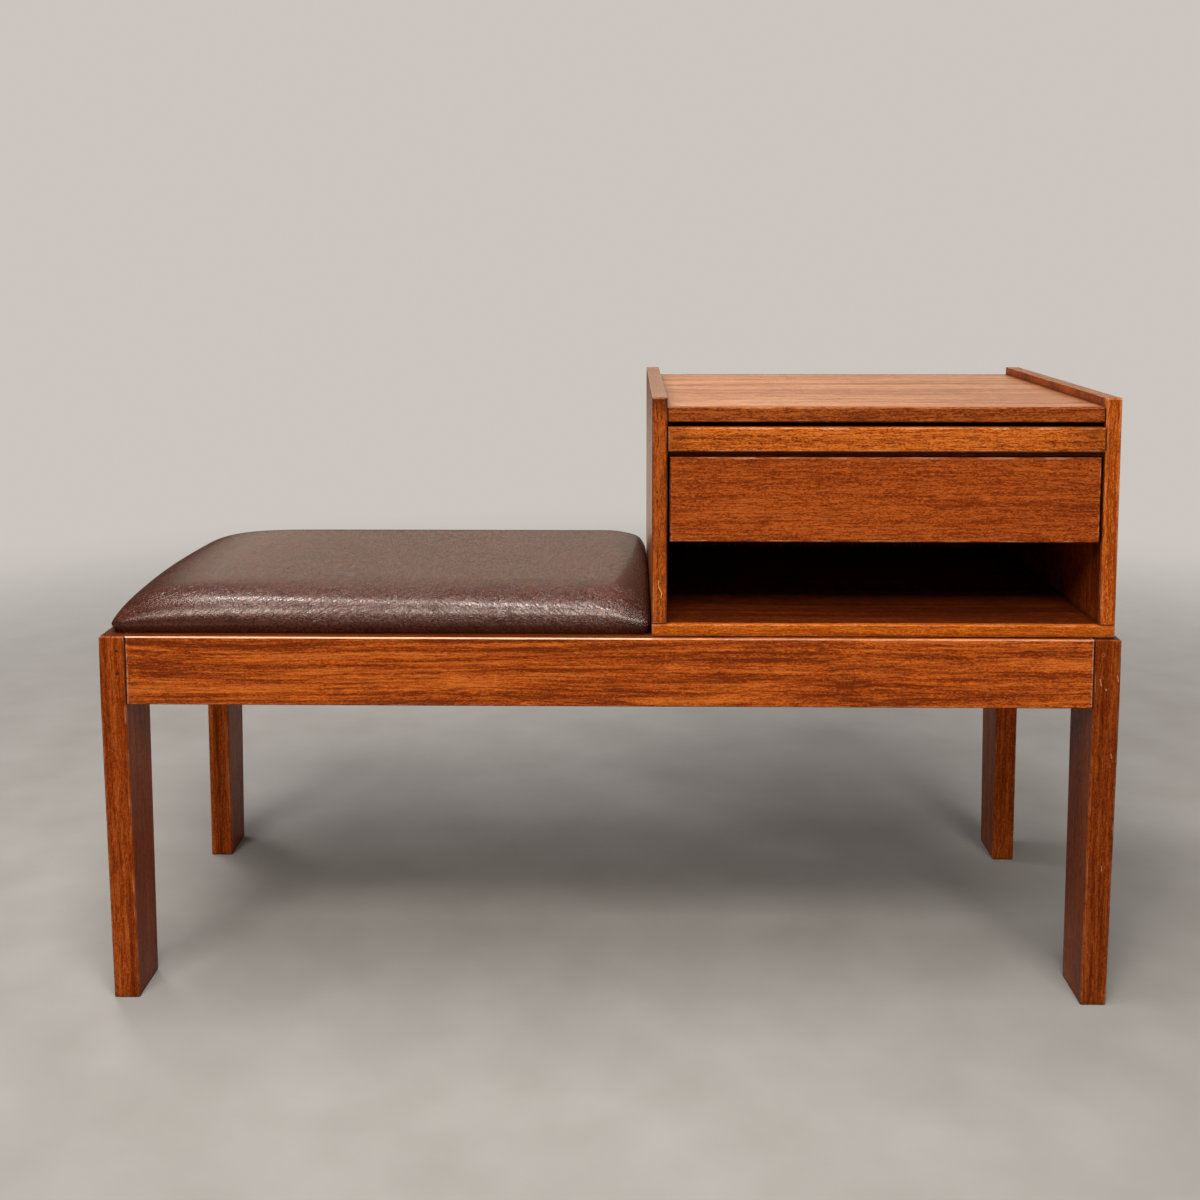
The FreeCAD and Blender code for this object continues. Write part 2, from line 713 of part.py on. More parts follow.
# ---- drawer: sides joined to the front by lapped dovetails, grooved outside for the runners

def dovetail(base, tip, low, high):
    """Corners of one dovetail from its neck at base to its flared end at tip."""
    return [(base, low), (base, high),
            (tip, f"{high} + dovetail_flare"), (tip, f"{low} - dovetail_flare")]


drawer_front = new_body("drawer_front")
sketch = rectangle(drawer_front, "XZ_Plane", "-drawer_length/2", "0",
                   "drawer_length/2", "drawer_front_height")
pad(drawer_front, sketch, "drawer_front_thickness", backwards=True)
chamfer(drawer_front, "arris", lambda low, high: near(high.y, 0))
socket = outline(drawer_front, "YZ_Plane",
                 dovetail("drawer_front_thickness", "drawer_front_thickness - dovetail_length",
                          "drawer_side_rise + dovetail_low", "drawer_side_rise + dovetail_high"),
                 "-drawer_length/2")
cut = pocket(drawer_front, socket, "drawer_side_thickness", True)
multiple = drawer_front.newObject("PartDesign::MultiTransform", "sockets")
multiple.Originals = [cut]
rows = drawer_front.newObject("PartDesign::LinearPattern", "socket_rows")
rows.Direction = (origin_feature(drawer_front, "Z_Axis"), [""])
bind(rows, Occurrences="dovetail_count", Length="dovetail_pitch*(dovetail_count - 1)")
ends = drawer_front.newObject("PartDesign::Mirrored", "socket_ends")
ends.MirrorPlane = (origin_feature(drawer_front, "YZ_Plane"), [""])
multiple.Transformations = [rows, ends]
drawer_front.Tip = multiple
doc.recompute()
groove = rectangle(drawer_front, "XZ_Plane",
                   "-drawer_bottom_width/2", "drawer_side_rise + drawer_bottom_rise",
                   "drawer_bottom_width/2", "drawer_side_rise + drawer_floor", "-drawer_front_thickness")
pocket(drawer_front, groove, "drawer_bottom_groove", True)
place(drawer_front, "cabinet_middle", "drawer_front_front", "drawer_front_foot")

drawer_side = new_body("drawer_left_side")
sketch = rectangle(drawer_side, "YZ_Plane", "0", "0", "drawer_box_length", "drawer_side_height")
pad(drawer_side, sketch, "drawer_side_thickness")
tail = outline(drawer_side, "YZ_Plane", dovetail("0", "-dovetail_length", "dovetail_low", "dovetail_high"))
tail = pad(drawer_side, tail, "drawer_side_thickness")
repeat_upwards(drawer_side, tail, "dovetail_pitch", "dovetail_count")
groove = rectangle(drawer_side, "YZ_Plane", "0", "runner_groove_foot",
                   "drawer_box_length", "runner_groove_top")
pocket(drawer_side, groove, "runner_groove_depth", True)
groove = rectangle(drawer_side, "YZ_Plane", "-drawer_bottom_groove", "drawer_bottom_rise",
                   "drawer_box_length", "drawer_floor", "drawer_side_thickness")
pocket(drawer_side, groove, "drawer_bottom_groove")
housing = rectangle(drawer_side, "YZ_Plane", "drawer_back_rear - drawer_back_thickness", "drawer_floor",
                    "drawer_back_rear", "drawer_side_height", "drawer_side_thickness")
pocket(drawer_side, housing, "drawer_back_housing")
place(drawer_side, "drawer_left", "drawer_box_front", "drawer_side_foot")
mirrored_part("drawer_left_side", "drawer_right_side", "cabinet_middle")

drawer_back = board("drawer_back", "drawer_back_length", "drawer_back_thickness",
                    "drawer_side_height - drawer_floor")
place(drawer_back, "cabinet_middle - drawer_back_length/2",
      "drawer_box_front + drawer_back_rear - drawer_back_thickness", "drawer_side_foot + drawer_floor")

drawer_bottom = board("drawer_bottom", "drawer_bottom_width", "drawer_box_length + drawer_bottom_groove",
                      "drawer_bottom_thickness")
place(drawer_bottom, "cabinet_middle - drawer_bottom_width/2", "drawer_box_front - drawer_bottom_groove",
      "drawer_side_foot + drawer_bottom_rise")


# ---- writing slide: a board let into a deeper front strip

slide_board = board("slide_board", "slide_board_width", "slide_board_depth", "slide_board_thickness")
place(slide_board, "cabinet_middle - slide_board_width/2", "slide_board_front", "slide_board_lower")

slide_front = board("slide_front", "slide_front_length", "slide_front_thickness", "slide_front_height")
chamfer(slide_front, "arris", lambda low, high: near(high.y, 0))
groove = rectangle(slide_front, "XZ_Plane",
                   "(slide_front_length - slide_board_width)/2", "slide_board_rise",
                   "(slide_front_length + slide_board_width)/2", "slide_board_rise + slide_board_thickness",
                   "-slide_front_thickness")
pocket(slide_front, groove, "slide_tongue", True)
place(slide_front, "bay_left + slide_side_gap", "slide_front_front", "dust_upper + slide_rest_gap")


# ---- check the document and write one file for each sub-part

doc.recompute()
for item in doc.Objects:
    if "Invalid" in item.State or "Error" in item.State:
        raise ValueError(f"{item.Label} did not compute")
for name, thing in parts.items():
    if thing.Shape.isNull() or not thing.Shape.isValid():
        raise ValueError(f"{name} has no valid shape")

os.makedirs("parts", exist_ok=True)
for name, thing in parts.items():
    thing.Shape.exportStep(f"parts/{name}.step")
    print(f"{name:22s} {len(thing.Shape.Solids):2d} solids {thing.Shape.Volume/1000:9.1f} cm3")
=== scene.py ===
import math

import bpy
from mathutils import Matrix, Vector


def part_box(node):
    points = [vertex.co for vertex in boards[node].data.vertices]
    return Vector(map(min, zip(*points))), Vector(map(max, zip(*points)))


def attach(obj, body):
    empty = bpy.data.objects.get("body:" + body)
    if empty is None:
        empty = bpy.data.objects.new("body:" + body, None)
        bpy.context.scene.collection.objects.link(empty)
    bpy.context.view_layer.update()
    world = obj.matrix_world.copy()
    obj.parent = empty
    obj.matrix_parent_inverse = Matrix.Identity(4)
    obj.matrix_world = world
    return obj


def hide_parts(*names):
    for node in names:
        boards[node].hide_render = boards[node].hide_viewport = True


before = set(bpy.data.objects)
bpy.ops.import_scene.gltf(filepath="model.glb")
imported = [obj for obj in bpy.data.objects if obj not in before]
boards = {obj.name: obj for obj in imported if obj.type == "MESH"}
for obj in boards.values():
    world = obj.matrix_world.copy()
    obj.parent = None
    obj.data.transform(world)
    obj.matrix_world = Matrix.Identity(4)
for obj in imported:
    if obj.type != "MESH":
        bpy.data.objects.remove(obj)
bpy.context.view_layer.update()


# ---- The camera: a 42 mm lens at a sitting person's eye height, in front of the bench and a
# little to the right of its middle, looking slightly down.

LENS, FILM_WIDTH, LENS_SHIFT = 42, 36, -0.1833
EYE = (0.0175, -1.5765, 0.7704)
LOOK_DOWN, TILT, LOOK_LEFT = 0.0928, 0.0012, 0.0174

camera_data = bpy.data.cameras.new("camera")
camera_data.lens = LENS
camera_data.sensor_width = FILM_WIDTH
camera_data.shift_y = LENS_SHIFT
camera_data.clip_end = 60
camera = bpy.data.objects.new("camera", camera_data)
camera.location = EYE
camera.rotation_euler = (math.pi/2 - LOOK_DOWN, TILT, LOOK_LEFT)
bpy.context.scene.collection.objects.link(camera)
bpy.context.scene.camera = camera
bpy.context.scene.view_settings.view_transform = "Standard"


# ---- The studio: a pale floor that fades into a pale surround, one broad soft lamp high in front
# and a narrow one overhead. The surround lights the bench only weakly. Reflections show a dim
# room with a pale wall behind the bench, which ends at the left and has a dim strip at its foot.

def add_node(tree, kind, given=None, **settings):
    """Add a shader node; given maps its sockets to values or to other nodes' outputs."""
    node = tree.nodes.new("ShaderNode" + kind)
    for name, setting in settings.items():
        setattr(node, name, setting)
    for name, value in (given or {}).items():
        socket = node.inputs[name]
        if isinstance(value, bpy.types.NodeSocket):
            tree.links.new(value, socket)
        else:
            socket.default_value = value
    return node


def add_math(tree, operation, *values, clamp=False):
    """Add a math node and return what it gives out."""
    node = add_node(tree, "Math", dict(enumerate(values)), operation=operation, use_clamp=clamp)
    return node.outputs[0]


def vector_math(tree, operation, first, second=None):
    """Add a vector math node and return what it gives out."""
    given = {0: first}
    if second is not None:
        given["Scale" if operation == "SCALE" else 1] = second
    node = add_node(tree, "VectorMath", given, operation=operation)
    return node.outputs["Value" if operation in ("LENGTH", "DISTANCE", "DOT_PRODUCT") else "Vector"]


def smooth_step(tree, value, low, high):
    """A mask that rises smoothly from 0 at low to 1 at high."""
    return add_node(tree, "MapRange", {"Value": value, "From Min": low, "From Max": high},
                    interpolation_type="SMOOTHSTEP").outputs[0]


def mix_colour(tree, share, first, second):
    return add_node(tree, "Mix", {0: share, 6: first, 7: second}, data_type="RGBA").outputs[2]


def separate(tree, vector):
    return add_node(tree, "SeparateXYZ", {0: vector}).outputs


def object_place(tree):
    return add_node(tree, "TexCoord").outputs["Object"]


SURROUND_SEEN = (0.60, 0.56, 0.52, 1)
SURROUND_LIGHT = (0.065, 0.065, 0.067, 1)
DIM_ROOM = (0.055, 0.048, 0.042, 1)
WALL = (0.97, 0.84, 0.69, 1)
# The reflected wall and floor: a part of the ray's direction where each starts and where it is full.
WALL_FRONT, WALL_END = (-0.1, 0.3), (-0.42, -0.27)
WALL_TOP, WALL_FOOT = (0.46, 0.27), (0.03, 0.17)
FAR_FLOOR, NEAR_FLOOR, FLOOR_SHARE = (-0.06, -0.15), (-0.27, -0.38), 0.9

world = bpy.data.worlds.new("surround")
bpy.context.scene.world = world
world.use_nodes = True
surround = world.node_tree
surround.nodes.clear()
path = add_node(surround, "LightPath").outputs
seen = add_math(surround, "MAXIMUM", path["Is Camera Ray"], path["Is Transmission Ray"])
way = separate(surround, add_node(surround, "TexCoord").outputs["Generated"])
tall = add_math(surround, "MULTIPLY", smooth_step(surround, way["Z"], *WALL_TOP),
                smooth_step(surround, way["Z"], *WALL_FOOT))
far_floor = add_math(surround, "MULTIPLY", smooth_step(surround, way["Z"], *FAR_FLOOR), FLOOR_SHARE)
far_floor = add_math(surround, "SUBTRACT", far_floor, smooth_step(surround, way["Z"], *NEAR_FLOOR),
                     clamp=True)
wall = add_math(surround, "MULTIPLY", smooth_step(surround, way["Y"], *WALL_FRONT),
                smooth_step(surround, way["X"], *WALL_END))
wall = add_math(surround, "MULTIPLY", wall, add_math(surround, "ADD", tall, far_floor))
wall = mix_colour(surround, wall, DIM_ROOM, WALL)
weak_light, wall_light, seen_light = (
    add_node(surround, "Background", {"Color": colour, "Strength": 1}).outputs[0]
    for colour in (SURROUND_LIGHT, wall, SURROUND_SEEN))
light = add_node(surround, "MixShader", {0: path["Is Glossy Ray"], 1: weak_light, 2: wall_light})
light = add_node(surround, "MixShader", {0: seen, 1: light.outputs[0], 2: seen_light})
add_node(surround, "OutputWorld", {"Surface": light.outputs[0]})

LAMP_AIM = Vector((0, 0, 0.35))


def add_lamp(name, place, size_across, size_up, power, colour=(1, 1, 1)):
    """Hang a rectangular soft lamp that faces the bench."""
    lamp_data = bpy.data.lights.new(name, "AREA")
    lamp_data.shape = "RECTANGLE"
    lamp_data.size = size_across
    lamp_data.size_y = size_up
    lamp_data.energy = power
    lamp_data.color = colour
    lamp = bpy.data.objects.new(name, lamp_data)
    lamp.location = place
    lamp.rotation_euler = (LAMP_AIM - Vector(place)).to_track_quat("-Z", "Y").to_euler()
    bpy.context.scene.collection.objects.link(lamp)


add_lamp("broad lamp", (-0.25, -4.4, 4.8), size_across=5.2, size_up=2.5, power=445,
         colour=(1, 0.985, 0.95))
add_lamp("overhead lamp", (-0.40, -0.28, 2.4), size_across=2.4, size_up=0.24, power=54)

FLOOR_RADIUS = 9
FLOOR_FADE = (0.95, 2.6)
FLOOR_CLOUDS = ((0.3, (0.29, 0.268, 0.245, 1)), (0.7, (0.33, 0.308, 0.285, 1)))

bpy.ops.mesh.primitive_circle_add(vertices=96, radius=FLOOR_RADIUS, fill_type="NGON", location=(0, 0, 0))
floor = bpy.context.object
floor.name = "studio_floor"
floor_paint = bpy.data.materials.new("pale floor")
floor_paint.use_nodes = True
paint = floor_paint.node_tree
paint.nodes.clear()
place = object_place(paint)
fade = smooth_step(paint, vector_math(paint, "LENGTH", place), *FLOOR_FADE)
clouds = add_node(paint, "TexNoise", {"Vector": place, "Scale": 9, "Detail": 4}).outputs["Fac"]
tone = add_node(paint, "ValToRGB", {"Fac": clouds})
for stop, (position, colour) in zip(tone.color_ramp.elements, FLOOR_CLOUDS):
    stop.position = position
    stop.color = colour
matt = add_node(paint, "BsdfPrincipled", {"Base Color": tone.outputs[0], "Roughness": 0.75,
                                          "Specular IOR Level": 0.25})
clear = add_node(paint, "BsdfTransparent")
faded = add_node(paint, "MixShader", {0: fade, 1: matt.outputs[0], 2: clear.outputs[0]})
add_node(paint, "OutputMaterial", {"Surface": faded.outputs[0]})
floor.data.materials.append(floor_paint)


# ---- The legs and rails: solid teak, oiled. The legs are straight inside and tapered outside;
# the rails are tenoned into them, and the front rail's tenons are pinned from the front.

def new_group(name, inputs, outputs):
    """Start a node group with named sockets; return it, its inputs and its output node."""
    group = bpy.data.node_groups.new(name, "ShaderNodeTree")
    for socket_name, kind, value in inputs:
        socket = group.interface.new_socket(socket_name, in_out="INPUT", socket_type=kind)
        socket.default_value = value
    for socket_name, kind in outputs:
        group.interface.new_socket(socket_name, in_out="OUTPUT", socket_type=kind)
    given = group.nodes.new("NodeGroupInput").outputs
    return group, given, group.nodes.new("NodeGroupOutput")


def give_out(group, result, **outputs):
    """Link a group's outputs."""
    for name, value in outputs.items():
        group.links.new(value, result.inputs[name])


def noise(tree, place, stretch, detail=2.0, roughness=0.5, depth=None):
    """Noise about 0.5, with stretch repeats in a metre along X, Y and Z; depth is a fourth axis."""
    given = {"Vector": vector_math(tree, "MULTIPLY", place, stretch), "Scale": 1,
             "Detail": detail, "Roughness": roughness}
    if depth is not None:
        given["W"] = depth
    node = add_node(tree, "TexNoise", given, noise_dimensions="3D" if depth is None else "4D")
    return node.outputs["Fac"]


def wavering(tree, place, shift_from, stretch, detail, reach):
    """A place shifted to and fro by noise that is read at another place; reach is its whole travel."""
    spread = vector_math(tree, "MULTIPLY", shift_from, stretch)
    shift = add_node(tree, "TexNoise", {"Vector": spread, "Scale": 1, "Detail": detail}).outputs["Color"]
    shift = vector_math(tree, "SUBTRACT", shift, (0.5, 0.5, 0.5))
    return vector_math(tree, "ADD", place, vector_math(tree, "SCALE", shift, reach))


def mixed_in(tree, colour, second, mask, share):
    """Lay a share of a second colour over the first where the mask is 1."""
    return mix_colour(tree, add_math(tree, "MULTIPLY", mask, share), colour, second)


DARK_TEAK = (0.125, 0.0145, 0.0012, 1)
TEAK = (0.315, 0.047, 0.0032, 1)
LIGHT_TEAK = (0.52, 0.120, 0.019, 1)

teak_grain, given, result = new_group("teak grain", [
    ("Place", "NodeSocketVector", (0, 0, 0)),
    ("Dark", "NodeSocketColor", DARK_TEAK),
    ("Middle", "NodeSocketColor", TEAK),
    ("Light", "NodeSocketColor", LIGHT_TEAK),
    ("Ring Width", "NodeSocketFloat", 0.009),
    ("Ring", "NodeSocketFloat", 2.6),
    ("Vein", "NodeSocketFloat", 0.6),
    ("Fibre", "NodeSocketFloat", 1.6),
    ("Streak", "NodeSocketFloat", 0.6),
    ("Dash", "NodeSocketFloat", 0.6),
    ("Speck", "NodeSocketFloat", 2.4),
    ("Fleck", "NodeSocketFloat", 0.4),
    ("Wander", "NodeSocketFloat", 0.03),
    ("Ripple", "NodeSocketFloat", 0.0022),
], [("Colour", "NodeSocketColor"), ("Roughness", "NodeSocketFloat"), ("Height", "NodeSocketFloat")])
# The grain runs along X, so that every figure has few repeats along X and many across it.
bent = wavering(teak_grain, given["Place"], given["Place"], (1.6, 7, 7), 2.5, given["Wander"])
bent = wavering(teak_grain, bent, given["Place"], (55, 110, 110), 2, given["Ripple"])
radius = vector_math(teak_grain, "LENGTH", vector_math(teak_grain, "MULTIPLY", bent, (0, 1, 1)))
ring_count = add_math(teak_grain, "DIVIDE", radius, given["Ring Width"])
ring = noise(teak_grain, given["Place"], (2.2, 3, 3), 2.5, 0.6, depth=ring_count)
vein_count = add_math(teak_grain, "MULTIPLY_ADD", ring_count, 2.7, 40)
vein = noise(teak_grain, given["Place"], (2.2, 3, 3), 1, 0.5, depth=vein_count)
vein = smooth_step(teak_grain, vein, 0.54, 0.68)
fibre = noise(teak_grain, bent, (10, 500, 500), 3, 0.7)
streak = noise(teak_grain, bent, (4, 180, 180), 1)
dash = smooth_step(teak_grain, noise(teak_grain, bent, (95, 800, 800), 2, 0.65), 0.38, 0.62)
speck = noise(teak_grain, bent, (400, 950, 950), 1, 0.6)
patch = noise(teak_grain, bent, (3, 22, 22), 2)
fleck = noise(teak_grain, bent, (26, 520, 520), 1)
dark_fleck = smooth_step(teak_grain, fleck, 0.56, 0.66)
pale_fleck = smooth_step(teak_grain, fleck, 0.42, 0.34)
pore = smooth_step(teak_grain, noise(teak_grain, bent, (75, 2100, 2100), 0), 0.60, 0.72)
tone = 0.5
for figure, strength in ((ring, given["Ring"]), (fibre, given["Fibre"]), (streak, given["Streak"]),
                         (dash, given["Dash"]), (speck, given["Speck"]), (patch, 0.45)):
    figure = add_math(teak_grain, "SUBTRACT", figure, 0.5)
    tone = add_math(teak_grain, "MULTIPLY_ADD", figure, strength, tone)
tone = add_math(teak_grain, "SUBTRACT", tone, add_math(teak_grain, "MULTIPLY", vein, given["Vein"]))
lower = add_math(teak_grain, "MULTIPLY", tone, 2, clamp=True)
upper = add_math(teak_grain, "MULTIPLY_ADD", tone, 2, -1, clamp=True)
colour = mix_colour(teak_grain, lower, given["Dark"], given["Middle"])
colour = mix_colour(teak_grain, upper, colour, given["Light"])
pale_share = add_math(teak_grain, "MULTIPLY", given["Fleck"], 0.7)
colour = mixed_in(teak_grain, colour, given["Light"], pale_fleck, pale_share)
dark_share = add_math(teak_grain, "MULTIPLY", dark_fleck, given["Fleck"])
dark_share = add_math(teak_grain, "MULTIPLY_ADD", pore, 0.35, dark_share, clamp=True)
colour = mix_colour(teak_grain, dark_share, colour, given["Dark"])
rough = add_math(teak_grain, "MULTIPLY_ADD", ring, -0.16, 0.50)
rough = add_math(teak_grain, "MULTIPLY_ADD", pore, 0.16, rough)
height = add_math(teak_grain, "MULTIPLY_ADD", dash, 0.3, fibre)
height = add_math(teak_grain, "MULTIPLY_ADD", pore, -0.7, height)
give_out(teak_grain, result, Colour=colour, Roughness=rough, Height=height)

# Masks for the edges and crevices: rubbed edges, which are laid pale as partly wear and partly a painted
# highlight; smooth edges for polish; and painted shade in crevices, read from ambient occlusion.
edge_wear_and_light, given, result = new_group("edge wear and light", [
    ("Place", "NodeSocketVector", (0, 0, 0)),
    ("Width", "NodeSocketFloat", 0.0016),
], [("Mask", "NodeSocketFloat"), ("Edge", "NodeSocketFloat"), ("Grime", "NodeSocketFloat")])
soft = add_node(edge_wear_and_light, "Bevel", {"Radius": given["Width"]}, samples=4).outputs[0]
sharp = add_node(edge_wear_and_light, "NewGeometry").outputs["Normal"]
edge = smooth_step(edge_wear_and_light, vector_math(edge_wear_and_light, "DOT_PRODUCT", soft, sharp), 0.985, 0.88)
# Rubbed edges, which are later laid in a pale colour that is partly wear and partly a painted highlight
# along the arrises.
rubbed = smooth_step(edge_wear_and_light, noise(edge_wear_and_light, given["Place"], (38, 90, 90), 4, 0.6), 0.44, 0.66)
worn_and_highlit = add_math(edge_wear_and_light, "MULTIPLY", edge, rubbed, clamp=True)
# Painted shade: darkening in crevices and joints, read from ambient occlusion.
open_air = add_node(edge_wear_and_light, "AmbientOcclusion", {"Distance": 0.005}, samples=4).outputs["AO"]
crevice_shade = smooth_step(edge_wear_and_light, open_air, 0.93, 0.55)
give_out(edge_wear_and_light, result, Mask=worn_and_highlit, Edge=edge, Grime=crevice_shade)

GRAIN_TURN = {"x": (0, 0, 0), "y": (0, 0, -math.pi/2), "z": (0, math.pi/2, 0)}


def new_finish(name):
    """Start a material; return it with its node tree and its principled shader."""
    finish = bpy.data.materials.new(name)
    finish.use_nodes = True
    tree = finish.node_tree
    tree.nodes.clear()
    shader = add_node(tree, "BsdfPrincipled")
    add_node(tree, "OutputMaterial", {"Surface": shader.outputs[0]})
    return finish, tree, shader


def add_group(tree, group, place, **figure):
    """Place a node group in a material, read at a place, and set its inputs."""
    node = add_node(tree, "Group", node_tree=group)
    tree.links.new(place, node.inputs["Place"])
    for socket, value in figure.items():
        node.inputs[socket.replace("_", " ")].default_value = value
    return node.outputs


def feed(tree, shader, colour, rough, height=None, depth=0.0003, strength=1):
    """Feed a shader its colour and roughness, and its relief where it has one, depth metres deep."""
    tree.links.new(colour, shader.inputs["Base Color"])
    tree.links.new(rough, shader.inputs["Roughness"])
    if height is not None:
        bump = add_node(tree, "Bump", {"Height": height, "Strength": strength, "Distance": depth})
        tree.links.new(bump.outputs[0], shader.inputs["Normal"])


def grain_place(tree, grain, heart):
    """The place on a board, turned so that its grain runs along X, from the heart of its log."""
    return add_node(tree, "Mapping", {"Vector": object_place(tree), "Location": heart,
                                      "Rotation": GRAIN_TURN[grain]}).outputs[0]


def dimmed(colour, share):
    return [share*part for part in colour[:3]] + [1]


SHEEN_TINT = (1, 0.50, 0.20, 1)
# Cut ends are darker wood. On the legs' tops this dark also stands in for the seat's shadow, as painted
# shade.
DARK_END_AND_SHADE = (0.055, 0.012, 0.003, 1)
# Worn edges: the pale of bare teak, made paler still as a painted highlight along the arrises.
WORN_EDGE_AND_HIGHLIGHT = (0.80, 0.40, 0.20, 1)
# Painted shade: the dark colour laid in crevices and joints, and how much of it is used.
CREVICE_SHADE = (0.020, 0.004, 0.001, 1)
END_SHARE, END_STREAK, CREVICE_SHADE_SHARE = 0.85, 0.45, 0.8
EDGE_POLISH, LEAST_ROUGH = -0.32, 0.14


def teak(name, grain, heart, gloss=0.4, coat=None, wear=0.7, end_grain=DARK_END_AND_SHADE, marks_and_painted_light=None, **figure):
    """Teak for one board; heart moves the board through its log, figure sets the grain's inputs.
    Coat, where given, is a lacquer's weight and roughness. Marks is a function that adds the board's own
    scratches and wear to its colour, and on some boards painted shade and painted highlights as well. Worn
    edges turn pale, partly as a painted highlight, and crevices turn dark as painted shade."""
    finish, tree, shader = new_finish(name)
    place = grain_place(tree, grain, heart)
    wood = add_group(tree, teak_grain, place, **figure)
    facing = add_node(tree, "Mapping", {"Vector": add_node(tree, "TexCoord").outputs["Normal"],
                                        "Rotation": GRAIN_TURN[grain]}, vector_type="NORMAL")
    lengthways = add_math(tree, "ABSOLUTE", separate(tree, facing.outputs[0])["X"])
    cut_end = smooth_step(tree, lengthways, 0.80, 0.97)
    streak = smooth_step(tree, noise(tree, place, (60, 80, 950), 3, 0.7), 0.36, 0.60)
    end_colour = mix_colour(tree, streak, dimmed(end_grain, END_STREAK), end_grain)
    colour = mixed_in(tree, wood["Colour"], end_colour, cut_end, END_SHARE)
    edges = add_group(tree, edge_wear_and_light, place)
    # Worn edges turn pale, partly from wear and partly as a painted highlight.
    worn_and_highlit = add_math(tree, "MULTIPLY", edges["Mask"], wear, clamp=True)
    colour = mix_colour(tree, worn_and_highlit, colour, WORN_EDGE_AND_HIGHLIGHT)
    # Painted shade in crevices and joints.
    colour = mixed_in(tree, colour, CREVICE_SHADE, edges["Grime"], CREVICE_SHADE_SHARE)
    if marks_and_painted_light:
        colour = marks_and_painted_light(tree, colour)
    rough = add_math(tree, "MULTIPLY_ADD", edges["Edge"], EDGE_POLISH, wood["Roughness"])
    rough = add_math(tree, "MAXIMUM", rough, LEAST_ROUGH)
    feed(tree, shader, colour, rough, wood["Height"], depth=0.0004, strength=0.6)
    shader.inputs["Specular IOR Level"].default_value = gloss
    shader.inputs["Specular Tint"].default_value = SHEEN_TINT
    if coat:
        shader.inputs["Coat Weight"].default_value, shader.inputs["Coat Roughness"].default_value = coat
    return finish


def dress(node, finish):
    """Give a CAD board its finish."""
    for slot in boards[node].material_slots:
        slot.material = finish


def scratch(tree, start, end, width):
    """A mask of 1 along a slightly wavering line between two places, (x, z), on the front face."""
    start, end = Vector((start[0], 0, start[1])), Vector((end[0], 0, end[1]))
    spot = vector_math(tree, "MULTIPLY", object_place(tree), (1, 0, 1))
    spot = wavering(tree, spot, spot, (260, 260, 260), 1, 0.0012)
    from_start = vector_math(tree, "SUBTRACT", spot, start)
    run = end - start
    along = vector_math(tree, "DOT_PRODUCT", from_start, run/run.length_squared)
    along = add_math(tree, "MULTIPLY", along, 1, clamp=True)
    away = vector_math(tree, "DISTANCE", from_start, vector_math(tree, "SCALE", run, along))
    return smooth_step(tree, away, width, width*0.3)


def scratches(colour_of_scratch, share, lines):
    """Marks that lay a share of a colour along scratches, each (start, end, width)."""
    def add_scratches(tree, colour):
        for line in lines:
            colour = mixed_in(tree, colour, colour_of_scratch, scratch(tree, *line), share)
        return colour
    return add_scratches


def shaded(runs, colour_of_shade=(0.05, 0.008, 0.002, 1), also=None):
    """Marks that darken a board towards a side, and then lay others over it where they are given.
    Each run is (axis, where the board is clear, where the shade is full, its share)."""
    def add_shades(tree, colour):
        place = separate(tree, object_place(tree))
        for axis, clear, full, share in runs:
            mask = smooth_step(tree, place[axis], clear, full)
            colour = mixed_in(tree, colour, colour_of_shade, mask, share)
        return also(tree, colour) if also else colour
    return add_shades


def nearest(value):
    """To the nearest tenth of a millimetre."""
    return round(value, 4)


TENON_PIN = 0.0015
pins_low, pins_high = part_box("tenon_pins")
pin_across = nearest(pins_low[0] + TENON_PIN)
pin_heights = nearest(pins_high[2] - TENON_PIN), nearest(pins_low[2] + TENON_PIN)

LEG_HEARTS = {"front_left_leg": (0.3, 0.26, 0.44), "front_right_leg": (4.1, 0.30, -0.56),
              "rear_left_leg": (7.7, -0.10, 0.40), "rear_right_leg": (2.9, -0.12, -0.58)}
LEG_LIGHT = {"front_left_leg": 0.8, "front_right_leg": 0.62, "rear_left_leg": 0.85, "rear_right_leg": 0.9}
LEG_MARKS = {
    "front_left_leg": scratches((0.045, 0.006, 0.002, 1), 0.6, [
        ((pin_across - 0.0002, up), (pin_across + 0.0002, up), 2*TENON_PIN) for up in pin_heights]),
    "front_right_leg": scratches((0.72, 0.36, 0.19, 1), 0.4, [
        ((0.4895, 0.345), (0.4910, 0.339), 0.0010), ((0.4960, 0.335), (0.4963, 0.334), 0.0010),
        ((0.5065, 0.349), (0.5080, 0.343), 0.0008), ((0.5035, 0.268), (0.5042, 0.264), 0.0008),
        ((0.4990, 0.150), (0.4995, 0.144), 0.0007)]),
}
for node, heart in LEG_HEARTS.items():
    shades = {shade: dimmed(colour, LEG_LIGHT[node])
              for shade, colour in (("Dark", DARK_TEAK), ("Middle", TEAK), ("Light", LIGHT_TEAK))}
    dress(node, teak(node.replace("_", " "), "z", heart, gloss=0.2, marks_and_painted_light=LEG_MARKS.get(node),
                     Ring_Width=0.011, Ring=1.5, Vein=0.25, Fibre=1.3, Streak=0.8, Dash=0.25,
                     Speck=1.3, **shades))

RAIL_END = -nearest(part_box("front_left_leg")[1][0])
SEAT_END = nearest(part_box("cabinet_left_side")[0][0]) - 0.0005
WORN_END = (RAIL_END - 0.0028, RAIL_END - 0.0016)
# Where the painted shade lies in the grooves between the rail and the legs.
SHADED_GROOVE = (RAIL_END - 0.0011, RAIL_END - 0.0002)
# How much painted highlight the rail's upper arris gets, away from the seat and beside it.
LEAST_ARRIS_HIGHLIGHT, MORE_ARRIS_HIGHLIGHT = 0.22, 0.38


